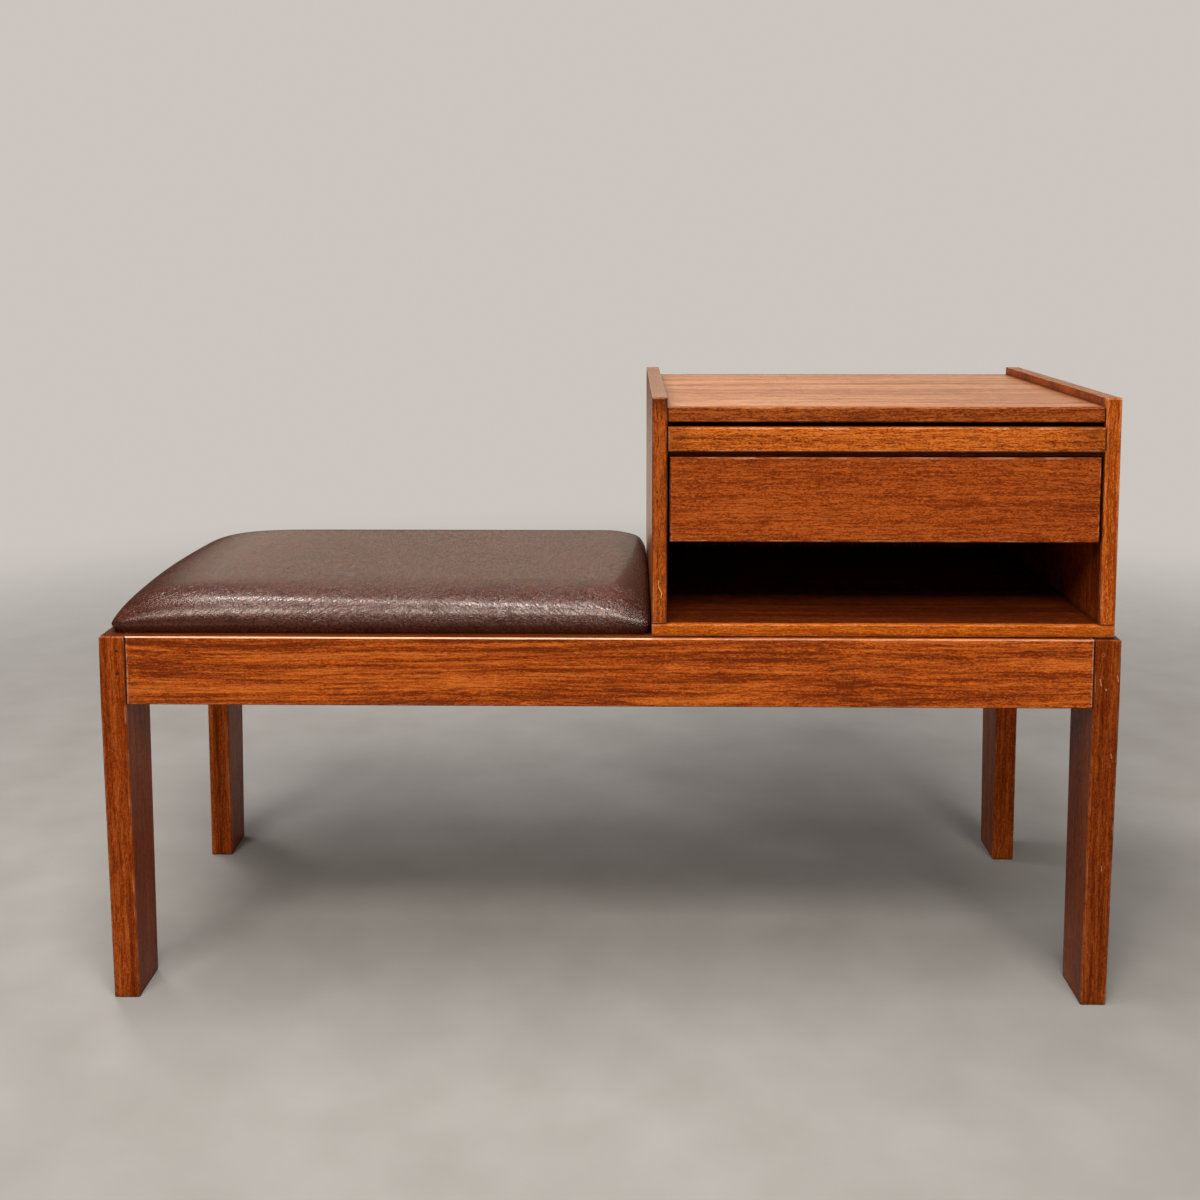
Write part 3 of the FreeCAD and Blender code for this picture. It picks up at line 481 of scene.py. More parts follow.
def rail_wear_and_light(tree, colour):
    """Painted shade in the grooves at the rail's ends, pale wear beside them, a painted shadow of the seat
    on its upper face, and a painted highlight along its upper arris, which is stronger beside the seat.
    """
    place = separate(tree, object_place(tree))
    facing = separate(tree, add_node(tree, "TexCoord").outputs["Normal"])
    ragged = noise(tree, object_place(tree), (300, 300, 300), 3)
    from_middle = add_math(tree, "ABSOLUTE", place["X"])
    from_middle = add_math(tree, "MULTIPLY_ADD", ragged, 0.0012, from_middle)
    worn_end = add_math(tree, "MULTIPLY", smooth_step(tree, from_middle, *WORN_END),
                        smooth_step(tree, ragged, 0.40, 0.58))
    colour = mixed_in(tree, colour, (0.42, 0.22, 0.14, 1), worn_end, 0.7)
    # Painted shade in the V-grooves where the rail meets the legs.
    groove = smooth_step(tree, from_middle, *SHADED_GROOVE)
    colour = mix_colour(tree, groove, colour, (0.010, 0.003, 0.001, 1))
    # Beside the seat: a painted shadow of the seat on the rail's upper face.
    beside_seat = smooth_step(tree, place["X"], SEAT_END + 0.0015, SEAT_END - 0.0015)
    seat_shadow = add_math(tree, "MULTIPLY", smooth_step(tree, facing["Z"], 0.90, 0.99), beside_seat)
    colour = mixed_in(tree, colour, (0.035, 0.005, 0.001, 1), seat_shadow, 0.75)
    # A painted highlight along the rail's upper arris, where light catches it.
    arris = add_math(tree, "MULTIPLY", smooth_step(tree, facing["Z"], 0.35, 0.6),
                     smooth_step(tree, facing["Z"], 0.95, 0.85))
    highlight_share = add_math(tree, "MULTIPLY_ADD", beside_seat, MORE_ARRIS_HIGHLIGHT, LEAST_ARRIS_HIGHLIGHT)
    return mixed_in(tree, colour, (0.95, 0.60, 0.38, 1), arris, highlight_share)


dress("front_rail", teak("front rail", "x", (4.1, 0.16, -0.27), marks_and_painted_light=rail_wear_and_light, Ring_Width=0.009,
                         Middle=(0.355, 0.054, 0.0034, 1), Light=(0.55, 0.128, 0.016, 1),
                         Ring=1.7, Vein=0.35, Fibre=1.9, Streak=2.0, Dash=0.35, Speck=1.8,
                         Wander=0.05, Ripple=0.0016))
dress("rear_rail", teak("rear rail", "x", (9.2, -0.20, -0.30)))
dress("left_side_rail", teak("left side rail", "y", (1.2, -0.55, -0.28)))
dress("right_side_rail", teak("right side rail", "y", (5.2, 0.42, -0.29)))


# ---- Inside the frame: a cross rail under the joint of seat and cabinet, stained dark, four glue
# blocks of plain beech, and the pins through the tenons, stained dark in the left leg only.

beech_grain, given, result = new_group("beech grain", [
    ("Place", "NodeSocketVector", (0, 0, 0)),
], [("Colour", "NodeSocketColor"), ("Roughness", "NodeSocketFloat"), ("Height", "NodeSocketFloat")])
streak = noise(beech_grain, given["Place"], (5, 160, 160), 3)
fleck = smooth_step(beech_grain, noise(beech_grain, given["Place"], (150, 1100, 1100), 0), 0.60, 0.70)
colour = mix_colour(beech_grain, smooth_step(beech_grain, streak, 0.35, 0.65),
                    (0.42, 0.235, 0.115, 1), (0.56, 0.345, 0.185, 1))
colour = mixed_in(beech_grain, colour, (0.30, 0.14, 0.06, 1), fleck, 0.55)
rough = add_math(beech_grain, "MULTIPLY_ADD", streak, 0.2, 0.5)
height = add_math(beech_grain, "MULTIPLY_ADD", fleck, -0.5, streak)
give_out(beech_grain, result, Colour=colour, Roughness=rough, Height=height)


def beech(name, grain, heart):
    finish, tree, shader = new_finish(name)
    wood = add_group(tree, beech_grain, grain_place(tree, grain, heart))
    feed(tree, shader, wood["Colour"], wood["Roughness"], wood["Height"], strength=0.3)
    return finish


STAINED = {"Dark": (0.030, 0.006, 0.002, 1), "Middle": (0.075, 0.014, 0.004, 1),
           "Light": (0.120, 0.026, 0.007, 1)}
dress("cross_rail", teak("cross rail", "y", (0.2, 1.1, 0.3), gloss=0.3, **STAINED))
for number, node in enumerate(("front_left_block", "front_right_block",
                               "rear_left_block", "rear_right_block")):
    dress(node, beech(node.replace("_", " "), "z", (number*1.3, 0.7, 0.2)))

pin_end, tree, shader = new_finish("dark pin")
place = object_place(tree)
speckle = noise(tree, place, (900, 900, 900), 3)
stained = mix_colour(tree, speckle, (0.012, 0.004, 0.002, 1), (0.05, 0.018, 0.008, 1))
plain = mix_colour(tree, speckle, (0.15, 0.022, 0.003, 1), (0.21, 0.036, 0.004, 1))
right_leg = smooth_step(tree, separate(tree, place)["X"], -0.01, 0.01)
feed(tree, shader, mix_colour(tree, right_leg, stained, plain),
     add_math(tree, "MULTIPLY_ADD", speckle, 0.3, 0.55))
shader.inputs["Specular IOR Level"].default_value = 0.2
dress("tenon_pins", pin_end)


# ---- The seat board: 12 mm plywood, seen only from below, inside the cover's hem. Screws through
# the corner blocks and the cross rail hold it down.

PLY = 0.0013

ply_layers, given, result = new_group("ply layers", [
    ("Place", "NodeSocketVector", (0, 0, 0)),
], [("Colour", "NodeSocketColor"), ("Roughness", "NodeSocketFloat"), ("Height", "NodeSocketFloat")])
layer = add_math(ply_layers, "PINGPONG", separate(ply_layers, given["Place"])["Z"], PLY)
layer = smooth_step(ply_layers, add_math(ply_layers, "DIVIDE", layer, PLY), 0.42, 0.58)
streak = noise(ply_layers, given["Place"], (4, 90, 90), 4)
tone = add_math(ply_layers, "MULTIPLY_ADD", layer, 0.25, streak, clamp=True)
colour = mix_colour(ply_layers, tone, (0.37, 0.22, 0.115, 1), (0.58, 0.40, 0.235, 1))
rough = add_math(ply_layers, "MULTIPLY_ADD", streak, 0.2, 0.55)
give_out(ply_layers, result, Colour=colour, Roughness=rough, Height=streak)


def plywood(name, heart):
    finish, tree, shader = new_finish(name)
    wood = add_group(tree, ply_layers, grain_place(tree, "x", heart))
    feed(tree, shader, wood["Colour"], wood["Roughness"], wood["Height"], strength=0.25)
    return finish


dress("seat_board", plywood("seat board", (0.4, 0.2, 0)))


# ---- The seat: foam under brown vinyl leathercloth, drawn down over the board's edges, so that
# the top swells and the corners stay low. The cover's hem lies flat under the board.

# The filled cushion stands out a little past the cover's plain form at each side.
cover_low, cover_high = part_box("seat_cover")
SEAT_LEFT, SEAT_RIGHT = nearest(cover_low[0] - 0.0060), nearest(cover_high[0] + 0.0014)
SEAT_FRONT, SEAT_REAR = nearest(cover_low[1] - 0.0045), nearest(cover_high[1] + 0.0010)
SEAT_FOOT, SEAT_CROWN = nearest(cover_low[2] + 0.0001), nearest(cover_high[2] - 0.0012)
SEAT_CORNER, SHOWN_CORNER, TOP_EDGE = 0.007, 0.011, 0.007
# The height at the edge, how far it drops at the corners, and how far each side swells above it.
EDGE_WALL, CORNER_DROP = 0.0122, 0.0065
FRONT_SWELL, LEFT_SWELL, RIGHT_SWELL = 0.0025, 0.0048, 0.014
LEFT_REACH, RIGHT_REACH = 0.07, 0.045
LEFT_BULGE, LEFT_BULGE_REACH = 0.003, 0.05
RIGHT_FALL, RIGHT_FALL_WIDTH = 0.0095, 0.040
# Each side's roll: how wide it is, and how fast it rises at the top and at the edge. The right
# one narrows towards the back.
ROLL = {"left": (0.162, 3.5, 0.476), "right": (0.045, 2.6, 0.52),
        "front": (0.088, 3.5, 0.476), "rear": (0.062, 3.5, 0.476)}
NARROWING, MOST_NARROW = (0.62, 8), 3.2
# How far the foot of each side is drawn in, and over what height.
TUCK = {"left": (0.0034, 0.010), "right": (0.0016, 0.010),
        "front": (0.0044, 0.013), "rear": (0.0016, 0.010)}
HEM, HEM_SLOPE, BOARD_RECESS = 0.025, 0.004, 0.0026
UNDERSIDE, TUCK_DEPTH = 0.0006, 0.012
VOXEL = 0.005
# The cloth is held up to a height, let go over the next stretch, and settles by a little at most.
HELD_HEIGHT, LET_GO, MOST_SETTLING, SETTLING_FRAMES = 0.015, 0.012, 0.002, 20


def select_only(piece):
    bpy.ops.object.select_all(action="DESELECT")
    piece.select_set(True)
    bpy.context.view_layer.objects.active = piece


def pick(piece, kind, wanted):
    """Go into edit mode with a mesh's wanted edges or faces selected."""
    mesh = piece.data
    for group in (mesh.vertices, mesh.edges, mesh.polygons):
        group.foreach_set("select", [False]*len(group))
    if kind == "EDGE":
        for edge in mesh.edges:
            ends = [mesh.vertices[index].co for index in edge.vertices]
            edge.select = wanted(*ends)
    else:
        for face in mesh.polygons:
            face.select = wanted(face.normal)
    bpy.ops.object.mode_set(mode="EDIT")
    bpy.ops.mesh.select_mode(type=kind)


def bevel_edges(piece, width, segments, wanted):
    """Bevel the edges for which wanted(one end, other end) holds."""
    pick(piece, "EDGE", wanted)
    bpy.ops.mesh.bevel(offset=width, segments=segments)
    bpy.ops.object.mode_set(mode="OBJECT")


def apply_place(piece):
    select_only(piece)
    bpy.ops.object.transform_apply(location=True, rotation=True, scale=True)


def new_block(name, low, high):
    """Add a cube between two corners, with its place in its mesh."""
    bpy.ops.object.select_all(action="DESELECT")
    low, high = Vector(low), Vector(high)
    bpy.ops.mesh.primitive_cube_add(size=1, location=(low + high)/2)
    piece = bpy.context.object
    piece.scale = high - low
    piece.name = name
    apply_place(piece)
    return piece


def add_modifier(piece, kind, **settings):
    """Add a modifier and apply it."""
    select_only(piece)
    modifier = piece.modifiers.new(kind.lower(), kind)
    for name, setting in settings.items():
        setattr(modifier, name, setting)
    bpy.ops.object.modifier_apply(modifier=modifier.name)


def unit(value):
    """Held between 0 and 1."""
    return min(max(value, 0), 1)


def rise(distance, side):
    """How far a side's rolled edge has risen, from 0 at the edge to 1 where the top is flat."""
    width, inner, outer = ROLL[side]
    return (1 - (1 - unit(distance/width))**inner)**outer


def hump(share):
    """0 at either end and 1 halfway."""
    return math.sin(math.pi*unit(share))


def crown(x, y):
    """Height of the seat's top above its foot."""
    back = (y - SEAT_FRONT)/(SEAT_REAR - SEAT_FRONT)
    right_roll = (SEAT_RIGHT - x)*min(NARROWING[0] + NARROWING[1]*back*back, MOST_NARROW)
    swell = (rise(x - SEAT_LEFT, "left")*rise(right_roll, "right")
             * rise(y - SEAT_FRONT, "front")*rise(SEAT_REAR - y, "rear"))
    near_left, near_right = math.exp((SEAT_LEFT - x)/LEFT_REACH), math.exp((x - SEAT_RIGHT)/RIGHT_REACH)
    wall = EDGE_WALL + FRONT_SWELL*hump((x - SEAT_LEFT)/(SEAT_RIGHT - SEAT_LEFT))
    wall += LEFT_SWELL*hump(back)*near_left + RIGHT_SWELL*hump(back)**0.7*near_right
    wall -= CORNER_DROP*(1 - hump(back))*(near_left + 0.5*near_right)
    fall = RIGHT_FALL*max(1 - (SEAT_RIGHT - x)/RIGHT_FALL_WIDTH, 0)**1.2
    return wall + (SEAT_CROWN - SEAT_FOOT - fall - wall)*swell


def edge_distance(x, y):
    return min(x - SEAT_LEFT, SEAT_RIGHT - x, y - SEAT_FRONT, SEAT_REAR - y)


def upright(a, b):
    return abs(a.z - b.z) > 0.01


cushion = new_block("seat_cushion", (SEAT_LEFT, SEAT_FRONT, SEAT_FOOT - 0.006),
                    (SEAT_RIGHT, SEAT_REAR, SEAT_CROWN))
bevel_edges(cushion, SHOWN_CORNER, 6,
            lambda a, b: upright(a, b) and a.x < SEAT_LEFT + 0.001 and a.y < SEAT_FRONT + 0.001)
bevel_edges(cushion, SEAT_CORNER, 6,
            lambda a, b: upright(a, b) and (a.x > SEAT_RIGHT - 0.001 or a.y > SEAT_REAR - 0.001))
bevel_edges(cushion, TOP_EDGE, 3, lambda a, b: min(a.z, b.z) > SEAT_CROWN - 0.001)
select_only(cushion)
cushion.data.remesh_voxel_size = VOXEL
bpy.ops.object.voxel_remesh()
slab_height = SEAT_CROWN - SEAT_FOOT
for vertex in cushion.data.vertices:
    x, y, z = vertex.co
    bulge = LEFT_BULGE*hump((y - SEAT_FRONT)/(SEAT_REAR - SEAT_FRONT))
    vertex.co.z = SEAT_FOOT + max(z - SEAT_FOOT, 0)*crown(x, y)/slab_height
    vertex.co.x -= bulge*math.exp((SEAT_LEFT - x)/LEFT_BULGE_REACH)

held = cushion.vertex_groups.new(name="held")
start = [vertex.co.copy() for vertex in cushion.data.vertices]
for index, spot in enumerate(start):
    held.add([index], 1 - unit((spot.z - SEAT_FOOT - HELD_HEIGHT)/LET_GO), "REPLACE")
select_only(cushion)
cloth = cushion.modifiers.new("vinyl", "CLOTH")
for name, setting in {"quality": 6, "mass": 0.35, "tension_stiffness": 25,
                      "compression_stiffness": 25, "shear_stiffness": 12,
                      "bending_stiffness": 12, "use_pressure": True,
                      "uniform_pressure_force": 3, "vertex_group_mass": "held"}.items():
    setattr(cloth.settings, name, setting)
cloth.settings.effector_weights.gravity = 0
cloth.point_cache.frame_start = 1
cloth.point_cache.frame_end = SETTLING_FRAMES
for step in range(1, SETTLING_FRAMES + 1):
    bpy.context.scene.frame_set(step)
settled = cushion.evaluated_get(bpy.context.evaluated_depsgraph_get())
moved = [vertex.co.copy() for vertex in settled.data.vertices]
cushion.modifiers.remove(cloth)
bpy.context.scene.frame_set(1)
for vertex, old, new in zip(cushion.data.vertices, start, moved):
    settling = new - old
    if settling.length > MOST_SETTLING:
        settling *= MOST_SETTLING/settling.length
    vertex.co = old + settling
add_modifier(cushion, "SMOOTH", factor=0.5, iterations=4)

middle_x, middle_y = (SEAT_LEFT + SEAT_RIGHT)/2, (SEAT_FRONT + SEAT_REAR)/2
for vertex in cushion.data.vertices:
    x, y, z = vertex.co
    if z < SEAT_FOOT + UNDERSIDE:
        vertex.co.z = SEAT_FOOT + BOARD_RECESS*unit((edge_distance(x, y) - HEM)/HEM_SLOPE)
    if edge_distance(x, y) < TUCK_DEPTH:
        tuck_x, tall_x = TUCK["left" if x < middle_x else "right"]
        tuck_y, tall_y = TUCK["front" if y < middle_y else "rear"]
        tucked_x, tucked_y = (max(1 - (z - SEAT_FOOT)/tall, 0)**1.6 for tall in (tall_x, tall_y))
        vertex.co.x -= tucked_x*tuck_x*(x - middle_x)/(SEAT_RIGHT - middle_x)
        vertex.co.y -= tucked_y*tuck_y*(y - middle_y)/(SEAT_REAR - middle_y)
add_modifier(cushion, "SUBSURF", levels=1, render_levels=1)
select_only(cushion)
bpy.ops.object.shade_smooth()

CREASE_TURNS = (-0.75, 0.75)
CREASE_DEPTH = -3.8

vinyl_skin, given, result = new_group("vinyl skin", [
    ("Place", "NodeSocketVector", (0, 0, 0)),
], [("Colour", "NodeSocketColor"), ("Roughness", "NodeSocketFloat"), ("Height", "NodeSocketFloat")])
shake = add_node(vinyl_skin, "TexNoise", {"Vector": given["Place"], "Scale": 240, "Detail": 2})
cells = vector_math(vinyl_skin, "MULTIPLY", given["Place"], (470, 470, 470))
cells = vector_math(vinyl_skin, "ADD", cells, shake.outputs["Color"])
cells = add_node(vinyl_skin, "TexVoronoi", {"Vector": cells, "Scale": 1},
                 feature="DISTANCE_TO_EDGE").outputs["Distance"]
pebble = smooth_step(vinyl_skin, cells, 0.0, 0.20)
groove = add_math(vinyl_skin, "SUBTRACT", 1, pebble)
# The creases lean one way at the left of the front edge and the other way at the right.
spot = separate(vinyl_skin, given["Place"])
up_the_front = add_math(vinyl_skin, "ADD", spot["Y"], spot["Z"])
front_face = add_node(vinyl_skin, "CombineXYZ", {"X": spot["X"], "Y": up_the_front}).outputs[0]
leaning = []
for turn in CREASE_TURNS:
    turned = add_node(vinyl_skin, "Mapping", {"Vector": front_face, "Rotation": (0, 0, turn)}).outputs[0]
    leaning.append(smooth_step(vinyl_skin, noise(vinyl_skin, turned, (45, 430, 0), 2, 0.5), 0.52, 0.60))
sway = smooth_step(vinyl_skin, spot["X"], -0.33, -0.10)
crease = add_node(vinyl_skin, "Mix", {0: sway, 2: leaning[0], 3: leaning[1]}, data_type="FLOAT").outputs[0]
near_front = smooth_step(vinyl_skin, spot["Y"], -0.130, -0.165)
crease = add_math(vinyl_skin, "MULTIPLY", crease, near_front)
# The left end is sat on least, so that it stays smoother.
worked = add_math(vinyl_skin, "MULTIPLY_ADD", smooth_step(vinyl_skin, spot["X"], -0.46, -0.26), 0.7, 0.3)
cloudy = noise(vinyl_skin, given["Place"], (14, 22, 14), 4, 0.6)
fine = noise(vinyl_skin, given["Place"], (330, 100, 330), 3, 0.7)
rub = smooth_step(vinyl_skin, noise(vinyl_skin, given["Place"], (24, 420, 60), 3, 0.6), 0.55, 0.72)
# Painted shade: the vinyl turns darker where it meets the cabinet's side.
shade_beside_cabinet = smooth_step(vinyl_skin, spot["X"], 0.006, 0.030)
colour = mix_colour(vinyl_skin, smooth_step(vinyl_skin, cloudy, 0.3, 0.7),
                    (0.055, 0.0105, 0.0047, 1), (0.100, 0.0215, 0.0092, 1))
colour = mixed_in(vinyl_skin, colour, (0.095, 0.027, 0.014, 1), pebble, 0.30)
colour = mix_colour(vinyl_skin, smooth_step(vinyl_skin, fine, 0.62, 0.38), colour, (0.030, 0.0065, 0.004, 1))
colour = mixed_in(vinyl_skin, colour, (0.020, 0.0030, 0.0010, 1), shade_beside_cabinet, 0.8)
rough = 0.08
for figure, strength in ((cloudy, 0.08), (fine, 0.10), (rub, 0.08), (groove, 0.15)):
    rough = add_math(vinyl_skin, "MULTIPLY_ADD", figure, strength, rough)
height = add_math(vinyl_skin, "MULTIPLY_ADD", crease, CREASE_DEPTH, pebble)
height = add_math(vinyl_skin, "MULTIPLY", height, worked)
give_out(vinyl_skin, result, Colour=colour, Roughness=rough, Height=height)

vinyl, tree, shader = new_finish("brown vinyl")
skin = add_group(tree, vinyl_skin, object_place(tree))
feed(tree, shader, skin["Colour"], skin["Roughness"], skin["Height"], depth=0.00016)
shader.inputs["Specular IOR Level"].default_value = 0.85
shader.inputs["Specular Tint"].default_value = (1, 0.86, 0.78, 1)
cushion.data.materials.append(vinyl)
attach(cushion, "frame")
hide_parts("seat_foam", "seat_cover")


# ---- Staples that hold the hem to the board, one every 40 mm or so: zinc plated wire, pressed
# in flat and a little askew.

STAPLE_SPREAD, STAPLE_WIRE, STAPLE_ROUND = 0.010, 0.0009, 0.00025
LONG_ROW = [nearest(SEAT_LEFT + 0.035) + step*0.0418 for step in range(12)]
SHORT_ROW = [nearest(SEAT_FRONT + 0.0955) + step*0.042 for step in range(6)]
HEM_FRONT, HEM_REAR = nearest(SEAT_FRONT + 0.0170), nearest(SEAT_REAR - 0.0225)
HEM_LEFT, HEM_RIGHT = nearest(SEAT_LEFT + 0.0235), nearest(SEAT_RIGHT - 0.0219)
MOST_SKEW = 0.12

steel_brush, given, result = new_group("steel brush", [
    ("Place", "NodeSocketVector", (0, 0, 0)),
], [("Colour", "NodeSocketColor"), ("Roughness", "NodeSocketFloat")])
streak = noise(steel_brush, given["Place"], (900, 900, 300), 3)
colour = mix_colour(steel_brush, streak, (0.34, 0.33, 0.31, 1), (0.62, 0.61, 0.58, 1))
rough = add_math(steel_brush, "MULTIPLY_ADD", streak, 0.35, 0.22)
give_out(steel_brush, result, Colour=colour, Roughness=rough)

steel, tree, shader = new_finish("zinc plated steel")
brushed = add_group(tree, steel_brush, object_place(tree))
feed(tree, shader, brushed["Colour"], brushed["Roughness"])
shader.inputs["Metallic"].default_value = 1


def copy_to(piece, move, turn=0):
    """Copy a piece with its own mesh, turned about Z and then moved."""
    copy = piece.copy()
    copy.data = piece.data.copy()
    bpy.context.scene.collection.objects.link(copy)
    copy.rotation_euler = (0, 0, turn)
    copy.location = move
    apply_place(copy)
    return copy


def join(pieces, name):
    bpy.ops.object.select_all(action="DESELECT")
    for piece in pieces:
        piece.select_set(True)
    bpy.context.view_layer.objects.active = pieces[0]
    bpy.ops.object.join()
    joined = bpy.context.object
    joined.name = name
    return joined


def remove(piece):
    bpy.data.objects.remove(piece, do_unlink=True)


staple = new_block("staple", (-STAPLE_SPREAD/2, -STAPLE_WIRE/2, -STAPLE_WIRE),
                   (STAPLE_SPREAD/2, STAPLE_WIRE/2, 0))
add_modifier(staple, "BEVEL", width=STAPLE_ROUND, segments=2)
spots = [(x, y, 0) for x in LONG_ROW for y in (HEM_FRONT, HEM_REAR)]
spots += [(x, y, math.pi/2) for y in SHORT_ROW for x in (HEM_LEFT, HEM_RIGHT)]
staples = join([copy_to(staple, (x, y, SEAT_FOOT), turn + MOST_SKEW*math.sin(7.0*number))
                for number, (x, y, turn) in enumerate(spots)], "hem_staples")
remove(staple)
staples.data.materials.append(steel)
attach(staples, "frame")


# ---- Screws: slotted pan heads under the glue blocks and in the cross rail's counterbores; three
# go up into the seat board, three into the cabinet's bottom.

HEAD_RADIUS, HEAD_HEIGHT, HEAD_ROUND = 0.004, 0.0025, 0.0015
SLOT_HALF_WIDTH, SLOT_DEPTH = 0.0005, 0.0011
CORE_RADIUS = 0.0016
screws_low, screws_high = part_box("seat_screws")
SCREW_SEAT = nearest(screws_low[2] + HEAD_HEIGHT)
SCREW_LENGTH = nearest(screws_high[2] - SCREW_SEAT)


def screw_places(node):
    """Two screws through the blocks, at the bench's end, and one through the cross rail."""
    low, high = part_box(node)
    left, right = nearest(low[0] + HEAD_RADIUS), nearest(high[0] - HEAD_RADIUS)
    front, rear = nearest(low[1] + HEAD_RADIUS), nearest(high[1] - HEAD_RADIUS)
    at_blocks, at_rail = (left, right) if node == "seat_screws" else (right, left)
    return (at_blocks, front), (at_blocks, rear), (at_rail, (front + rear)/2)


def new_screw():
    """A screw at the origin: the head's rim at z 0, its dome below, its thread above."""
    bpy.ops.object.select_all(action="DESELECT")
    bpy.ops.mesh.primitive_cylinder_add(vertices=32, radius=HEAD_RADIUS, depth=HEAD_HEIGHT,
                                        location=(0, 0, -HEAD_HEIGHT/2))
    head = bpy.context.object
    apply_place(head)
    bevel_edges(head, HEAD_ROUND, 5, lambda a, b: max(a.z, b.z) < -HEAD_HEIGHT + 1e-5)
    slot_cutter = new_block("slot cutter", (-0.01, -SLOT_HALF_WIDTH, -HEAD_HEIGHT - 0.001),
                            (0.01, SLOT_HALF_WIDTH, -HEAD_HEIGHT + SLOT_DEPTH))
    add_modifier(head, "BOOLEAN", object=slot_cutter, operation="DIFFERENCE", solver="EXACT")
    remove(slot_cutter)
    bpy.ops.object.select_all(action="DESELECT")
    bpy.ops.mesh.primitive_cylinder_add(vertices=16, radius=CORE_RADIUS, depth=SCREW_LENGTH,
                                        location=(0, 0, SCREW_LENGTH/2))
    shank = bpy.context.object
    apply_place(shank)
    pick(shank, "FACE", lambda normal: abs(normal.z) < 0.5)
    bpy.ops.mesh.subdivide(number_cuts=1)
    bpy.ops.object.mode_set(mode="OBJECT")
    return join([head, shank], "screw")


screw = new_screw()
for number, node in enumerate(("seat_screws", "cabinet_screws")):
    copies = [copy_to(screw, (x, y, SCREW_SEAT), 0.7*index + 1.9*number)
              for index, (x, y) in enumerate(screw_places(node))]
    set_of_screws = join(copies, "slotted_" + node)
    select_only(set_of_screws)
    bpy.ops.object.shade_smooth_by_angle(angle=math.radians(35))
    set_of_screws.data.materials.append(steel)
    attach(set_of_screws, "frame")
    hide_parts(node)
remove(screw)


# ---- The cabinet: veneered boards with solid lippings on their front edges. The sides stand on
# the bottom board on dowels, and the top is tongued into them a little below their upper ends.

VENEER = {"Dark": (0.115, 0.016, 0.002, 1), "Middle": (0.30, 0.046, 0.0035, 1),
          "Light": (0.43, 0.088, 0.011, 1)}
# The side panels' upper ends: faded by the sun, and greyed as a painted reflection of the surround.
FADED_END_AND_SHEEN = (0.30, 0.140, 0.074, 1)
dress("cabinet_left_side", teak("left side veneer", "z", (6.1, 0.10, -0.30), gloss=0.9, coat=(0.28, 0.12),
                                end_grain=FADED_END_AND_SHEEN, Ring_Width=0.012, **VENEER))
dress("cabinet_right_side", teak("right side veneer", "z", (8.3, 0.12, -0.66), end_grain=FADED_END_AND_SHEEN,
                                 Ring_Width=0.012, **VENEER))
pale_squiggle = scratches((0.85, 0.40, 0.09, 1), 0.7, [
    ((0.0512, 0.4420), (0.0520, 0.4350), 0.0006), ((0.0520, 0.4350), (0.0548, 0.4290), 0.0006),
    ((0.0548, 0.4290), (0.0540, 0.4250), 0.0006)])
# The left lipping is darker towards its top, as painted shade where the real lipping is rounded over. It is
# also darker along its two edges.
dress("left_side_lipping", teak("left lipping", "z", (2.1, 0.30, -0.10), Ring_Width=0.007,
                                marks_and_painted_light=shaded([("Z", 0.606, 0.6245, 0.7), ("X", 0.0468, 0.0452, 0.6),
                                              ("X", 0.0582, 0.0598, 0.6)], also=pale_squiggle),
                                Dark=(0.11, 0.018, 0.002, 1), Middle=(0.27, 0.044, 0.004, 1),
                                Light=(0.42, 0.090, 0.012, 1)))
dress("right_side_lipping", teak("right lipping", "z", (3.9, 0.31, -0.60), Ring_Width=0.007,
                                 Dark=(0.22, 0.034, 0.003, 1), Middle=(0.44, 0.078, 0.005, 1),
                                 Light=(0.58, 0.14, 0.018, 1)))
dress("bottom_lipping", teak("bottom lipping", "x", (5.5, 0.33, -0.30), Ring_Width=0.006,
                             Ring=1.8, Vein=0.3, Dark=(0.27, 0.040, 0.002, 1),
                             Middle=(0.46, 0.090, 0.0035, 1), Light=(0.57, 0.15, 0.011, 1)))
# The top lipping's wood is darker than the other lippings: painted shade where it sits between the side
# panels.
dress("top_lipping", teak("top lipping", "x", (1.5, 0.32, -0.52), Ring_Width=0.006, Ring=1.6, Vein=0.4,
                          Dark=(0.09, 0.013, 0.002, 1), Middle=(0.20, 0.032, 0.003, 1),
                          Light=(0.36, 0.080, 0.012, 1)))
# The bottom board's veneer is much darker than the rest: painted shade inside the open compartment.
dress("cabinet_bottom", teak("bottom veneer", "x", (4.4, 0.10, -0.44), Ring_Width=0.010,
                             Dark=(0.035, 0.004, 0.001, 1), Middle=(0.10, 0.013, 0.0014, 1),
                             Light=(0.18, 0.031, 0.0035, 1)))
# The top's veneer is pale: faded by the sun, and paled further as a painted sheen. It is darker towards the
# side panels and towards its front edge.
dress("cabinet_top", teak("top veneer", "x", (2.6, 0.25, -0.70), gloss=0.6, coat=(0.25, 0.28),
                          marks_and_painted_light=shaded([("X", 0.078, 0.060, 0.4), ("X", 0.478, 0.490, 0.3),
                                        ("Y", -0.196, -0.206, 0.1)]),
                          Ring_Width=0.014, Wander=0.06, Dash=0.5, Ring=2.4, Fibre=3.2, Speck=1.4,
                          Dark=(0.20, 0.060, 0.021, 1), Middle=(0.39, 0.154, 0.064, 1),
                          Light=(0.56, 0.247, 0.117, 1)))
dress("cabinet_back", teak("back veneer", "z", (7.1, -0.40, -0.30), Ring_Width=0.012, **VENEER))
dress("cabinet_dowels", beech("dowels", "z", (0.5, 0.9, 0.1)))


# ---- Panel pins that hold the back panel in its rebates: small domed steel heads round its edge,
# driven nearly flush.

PIN_RADIUS, PIN_HEIGHT, PIN_ROUND = 0.0013, 0.0008, 0.0005
PIN_COLUMNS, PIN_ROWS = 6, 2
PIN_SIDE_INSET, PIN_FOOT_INSET, PIN_TOP_INSET, PIN_EDGE_INSET = 0.012, 0.006, 0.008, 0.005

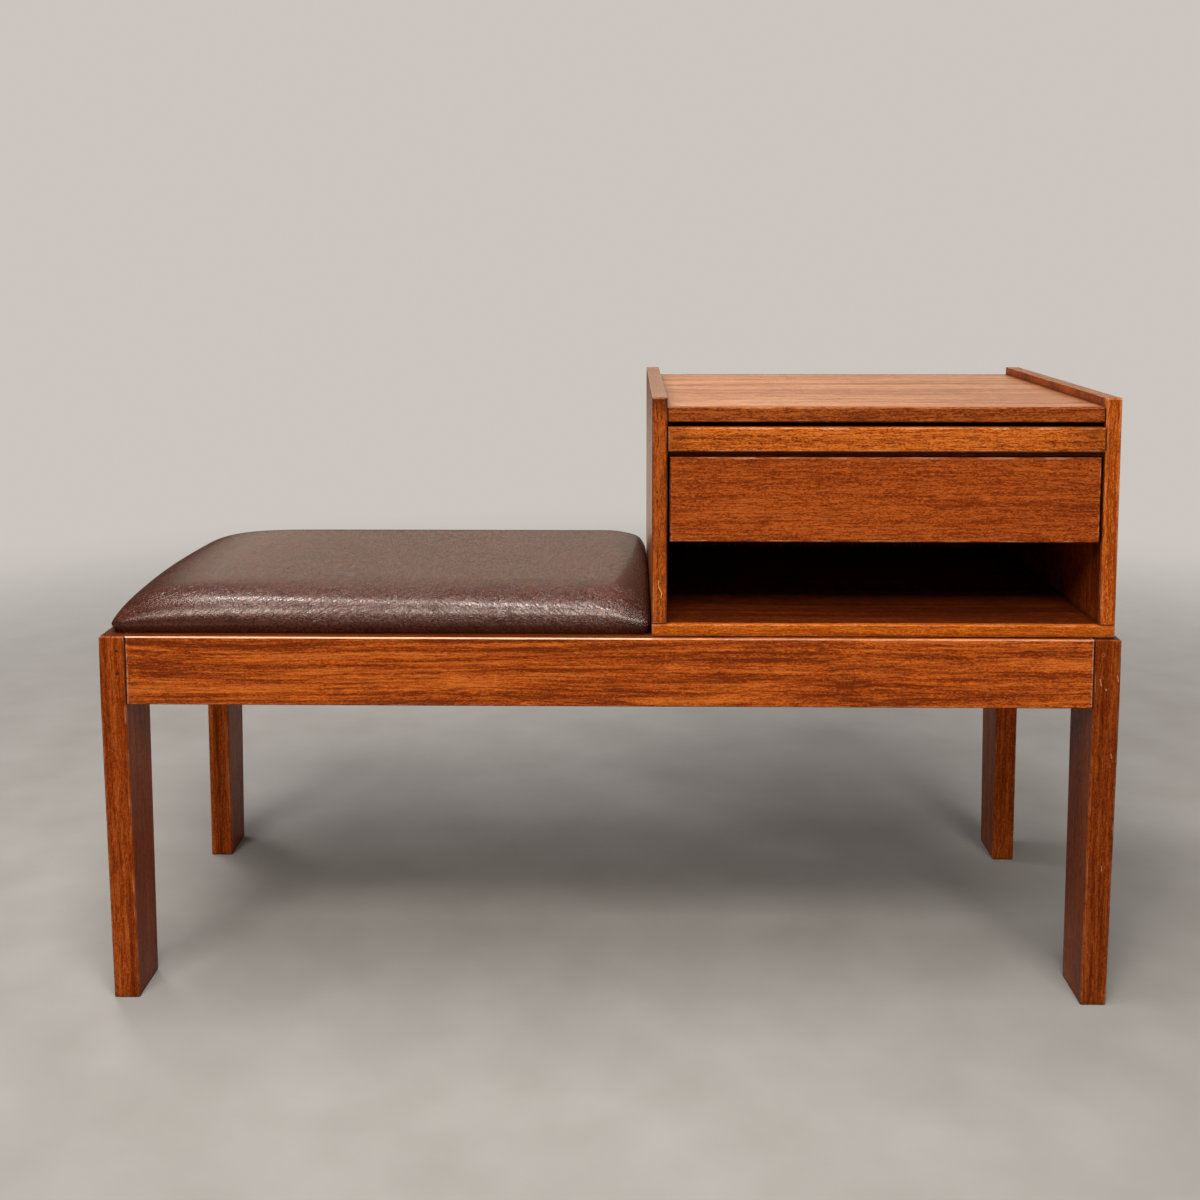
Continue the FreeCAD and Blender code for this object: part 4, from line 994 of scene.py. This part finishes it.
back_low, back_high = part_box("cabinet_back")
bpy.ops.object.select_all(action="DESELECT")
bpy.ops.mesh.primitive_cylinder_add(vertices=20, radius=PIN_RADIUS, depth=PIN_HEIGHT, location=(0, 0, 0),
                                    rotation=(math.pi/2, 0, 0))
pin = bpy.context.object
apply_place(pin)
bevel_edges(pin, PIN_ROUND, 3, lambda a, b: min(a.y, b.y) > 0.0003)
pin_places = []
pin_run = back_high[0] - back_low[0] - 2*PIN_SIDE_INSET
for step in range(PIN_COLUMNS):
    x = back_low[0] + PIN_SIDE_INSET + step*pin_run/(PIN_COLUMNS - 1)
    pin_places += [(x, back_high[1], back_low[2] + PIN_FOOT_INSET),
                   (x, back_high[1], back_high[2] - PIN_TOP_INSET)]
for step in range(1, PIN_ROWS + 1):
    z = back_low[2] + step*(back_high[2] - back_low[2])/(PIN_ROWS + 1)
    pin_places += [(back_low[0] + PIN_EDGE_INSET, back_high[1], z),
                   (back_high[0] - PIN_EDGE_INSET, back_high[1], z)]
panel_pins = join([copy_to(pin, spot) for spot in pin_places], "back_panel_pins")
remove(pin)
panel_pins.data.materials.append(steel)
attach(panel_pins, "frame")


# ---- Inside the cabinet: a dust panel between slide and drawer, grooved guides for the slide and
# the runners that the drawer hangs on.

dress("dust_panel", teak("dust panel", "x", (1.4, 0.5, 0.2), gloss=0.3, Dark=(0.15, 0.030, 0.013, 1),
                         Middle=(0.26, 0.055, 0.024, 1), Light=(0.36, 0.085, 0.038, 1)))
for node, heart in (("left_slide_guide", (0.1, 0.9, 0.4)), ("right_slide_guide", (1.7, 0.9, 0.4)),
                    ("left_drawer_runner", (2.6, 0.9, 0.6)), ("right_drawer_runner", (3.8, 0.9, 0.6))):
    dress(node, teak(node.replace("_", " "), "y", heart, gloss=0.3, **STAINED))


# ---- The drawer: a teak front, lapped over beech sides by dovetails, and a plywood bottom. The
# sides are grooved for the runners that it hangs on.

dress("drawer_front", teak("drawer front", "x", (6.6, 0.30, -0.40), wear=1.3, Ring_Width=0.016,
                           Ring=0.6, Vein=0.2, Fibre=1.5, Dash=0.45, Fleck=0.5, Wander=0.03,
                           Middle=(0.29, 0.044, 0.0035, 1), Light=(0.44, 0.092, 0.014, 1)))
dress("drawer_left_side", beech("drawer left side", "y", (4.6, 0.9, 0.6)))
dress("drawer_right_side", beech("drawer right side", "y", (5.9, 0.9, 0.6)))
dress("drawer_back", beech("drawer back", "x", (6.9, 0.9, 0.6)))
dress("drawer_bottom", plywood("drawer bottom", (2.4, 0.9, 0)))


# ---- The writing slide: a veneered board let into a deeper strip of solid teak, whose front has
# dark nicks and a small knot.

dress("slide_board", teak("slide board", "x", (9.6, 0.20, -0.45), Ring_Width=0.012, **VENEER))
nicks_and_knot = scratches((0.030, 0.005, 0.001, 1), 0.55, [
    ((0.0850, 0.5733), (0.0868, 0.5737), 0.0011), ((0.3130, 0.5735), (0.3154, 0.5738), 0.0011),
    ((0.0722, 0.5885), (0.0768, 0.5858), 0.0010), ((0.0732, 0.5842), (0.0760, 0.5850), 0.0010),
    ((0.4570, 0.5820), (0.4650, 0.5795), 0.0010), ((0.4700, 0.5880), (0.4810, 0.5855), 0.0010)])
dress("slide_front", teak("slide strip", "x", (0.9, 0.34, -0.72), wear=1.3, Ring_Width=0.010, Ring=1.4,
                          marks_and_painted_light=shaded([("X", 0.094, 0.066, 0.45), ("X", 0.450, 0.480, 0.45)],
                                       (0.16, 0.026, 0.003, 1), also=nicks_and_knot),
                          Vein=0.25, Fibre=2.0, Dash=0.5, Fleck=0.3,
                          Middle=(0.41, 0.076, 0.0045, 1), Light=(0.60, 0.155, 0.022, 1)))
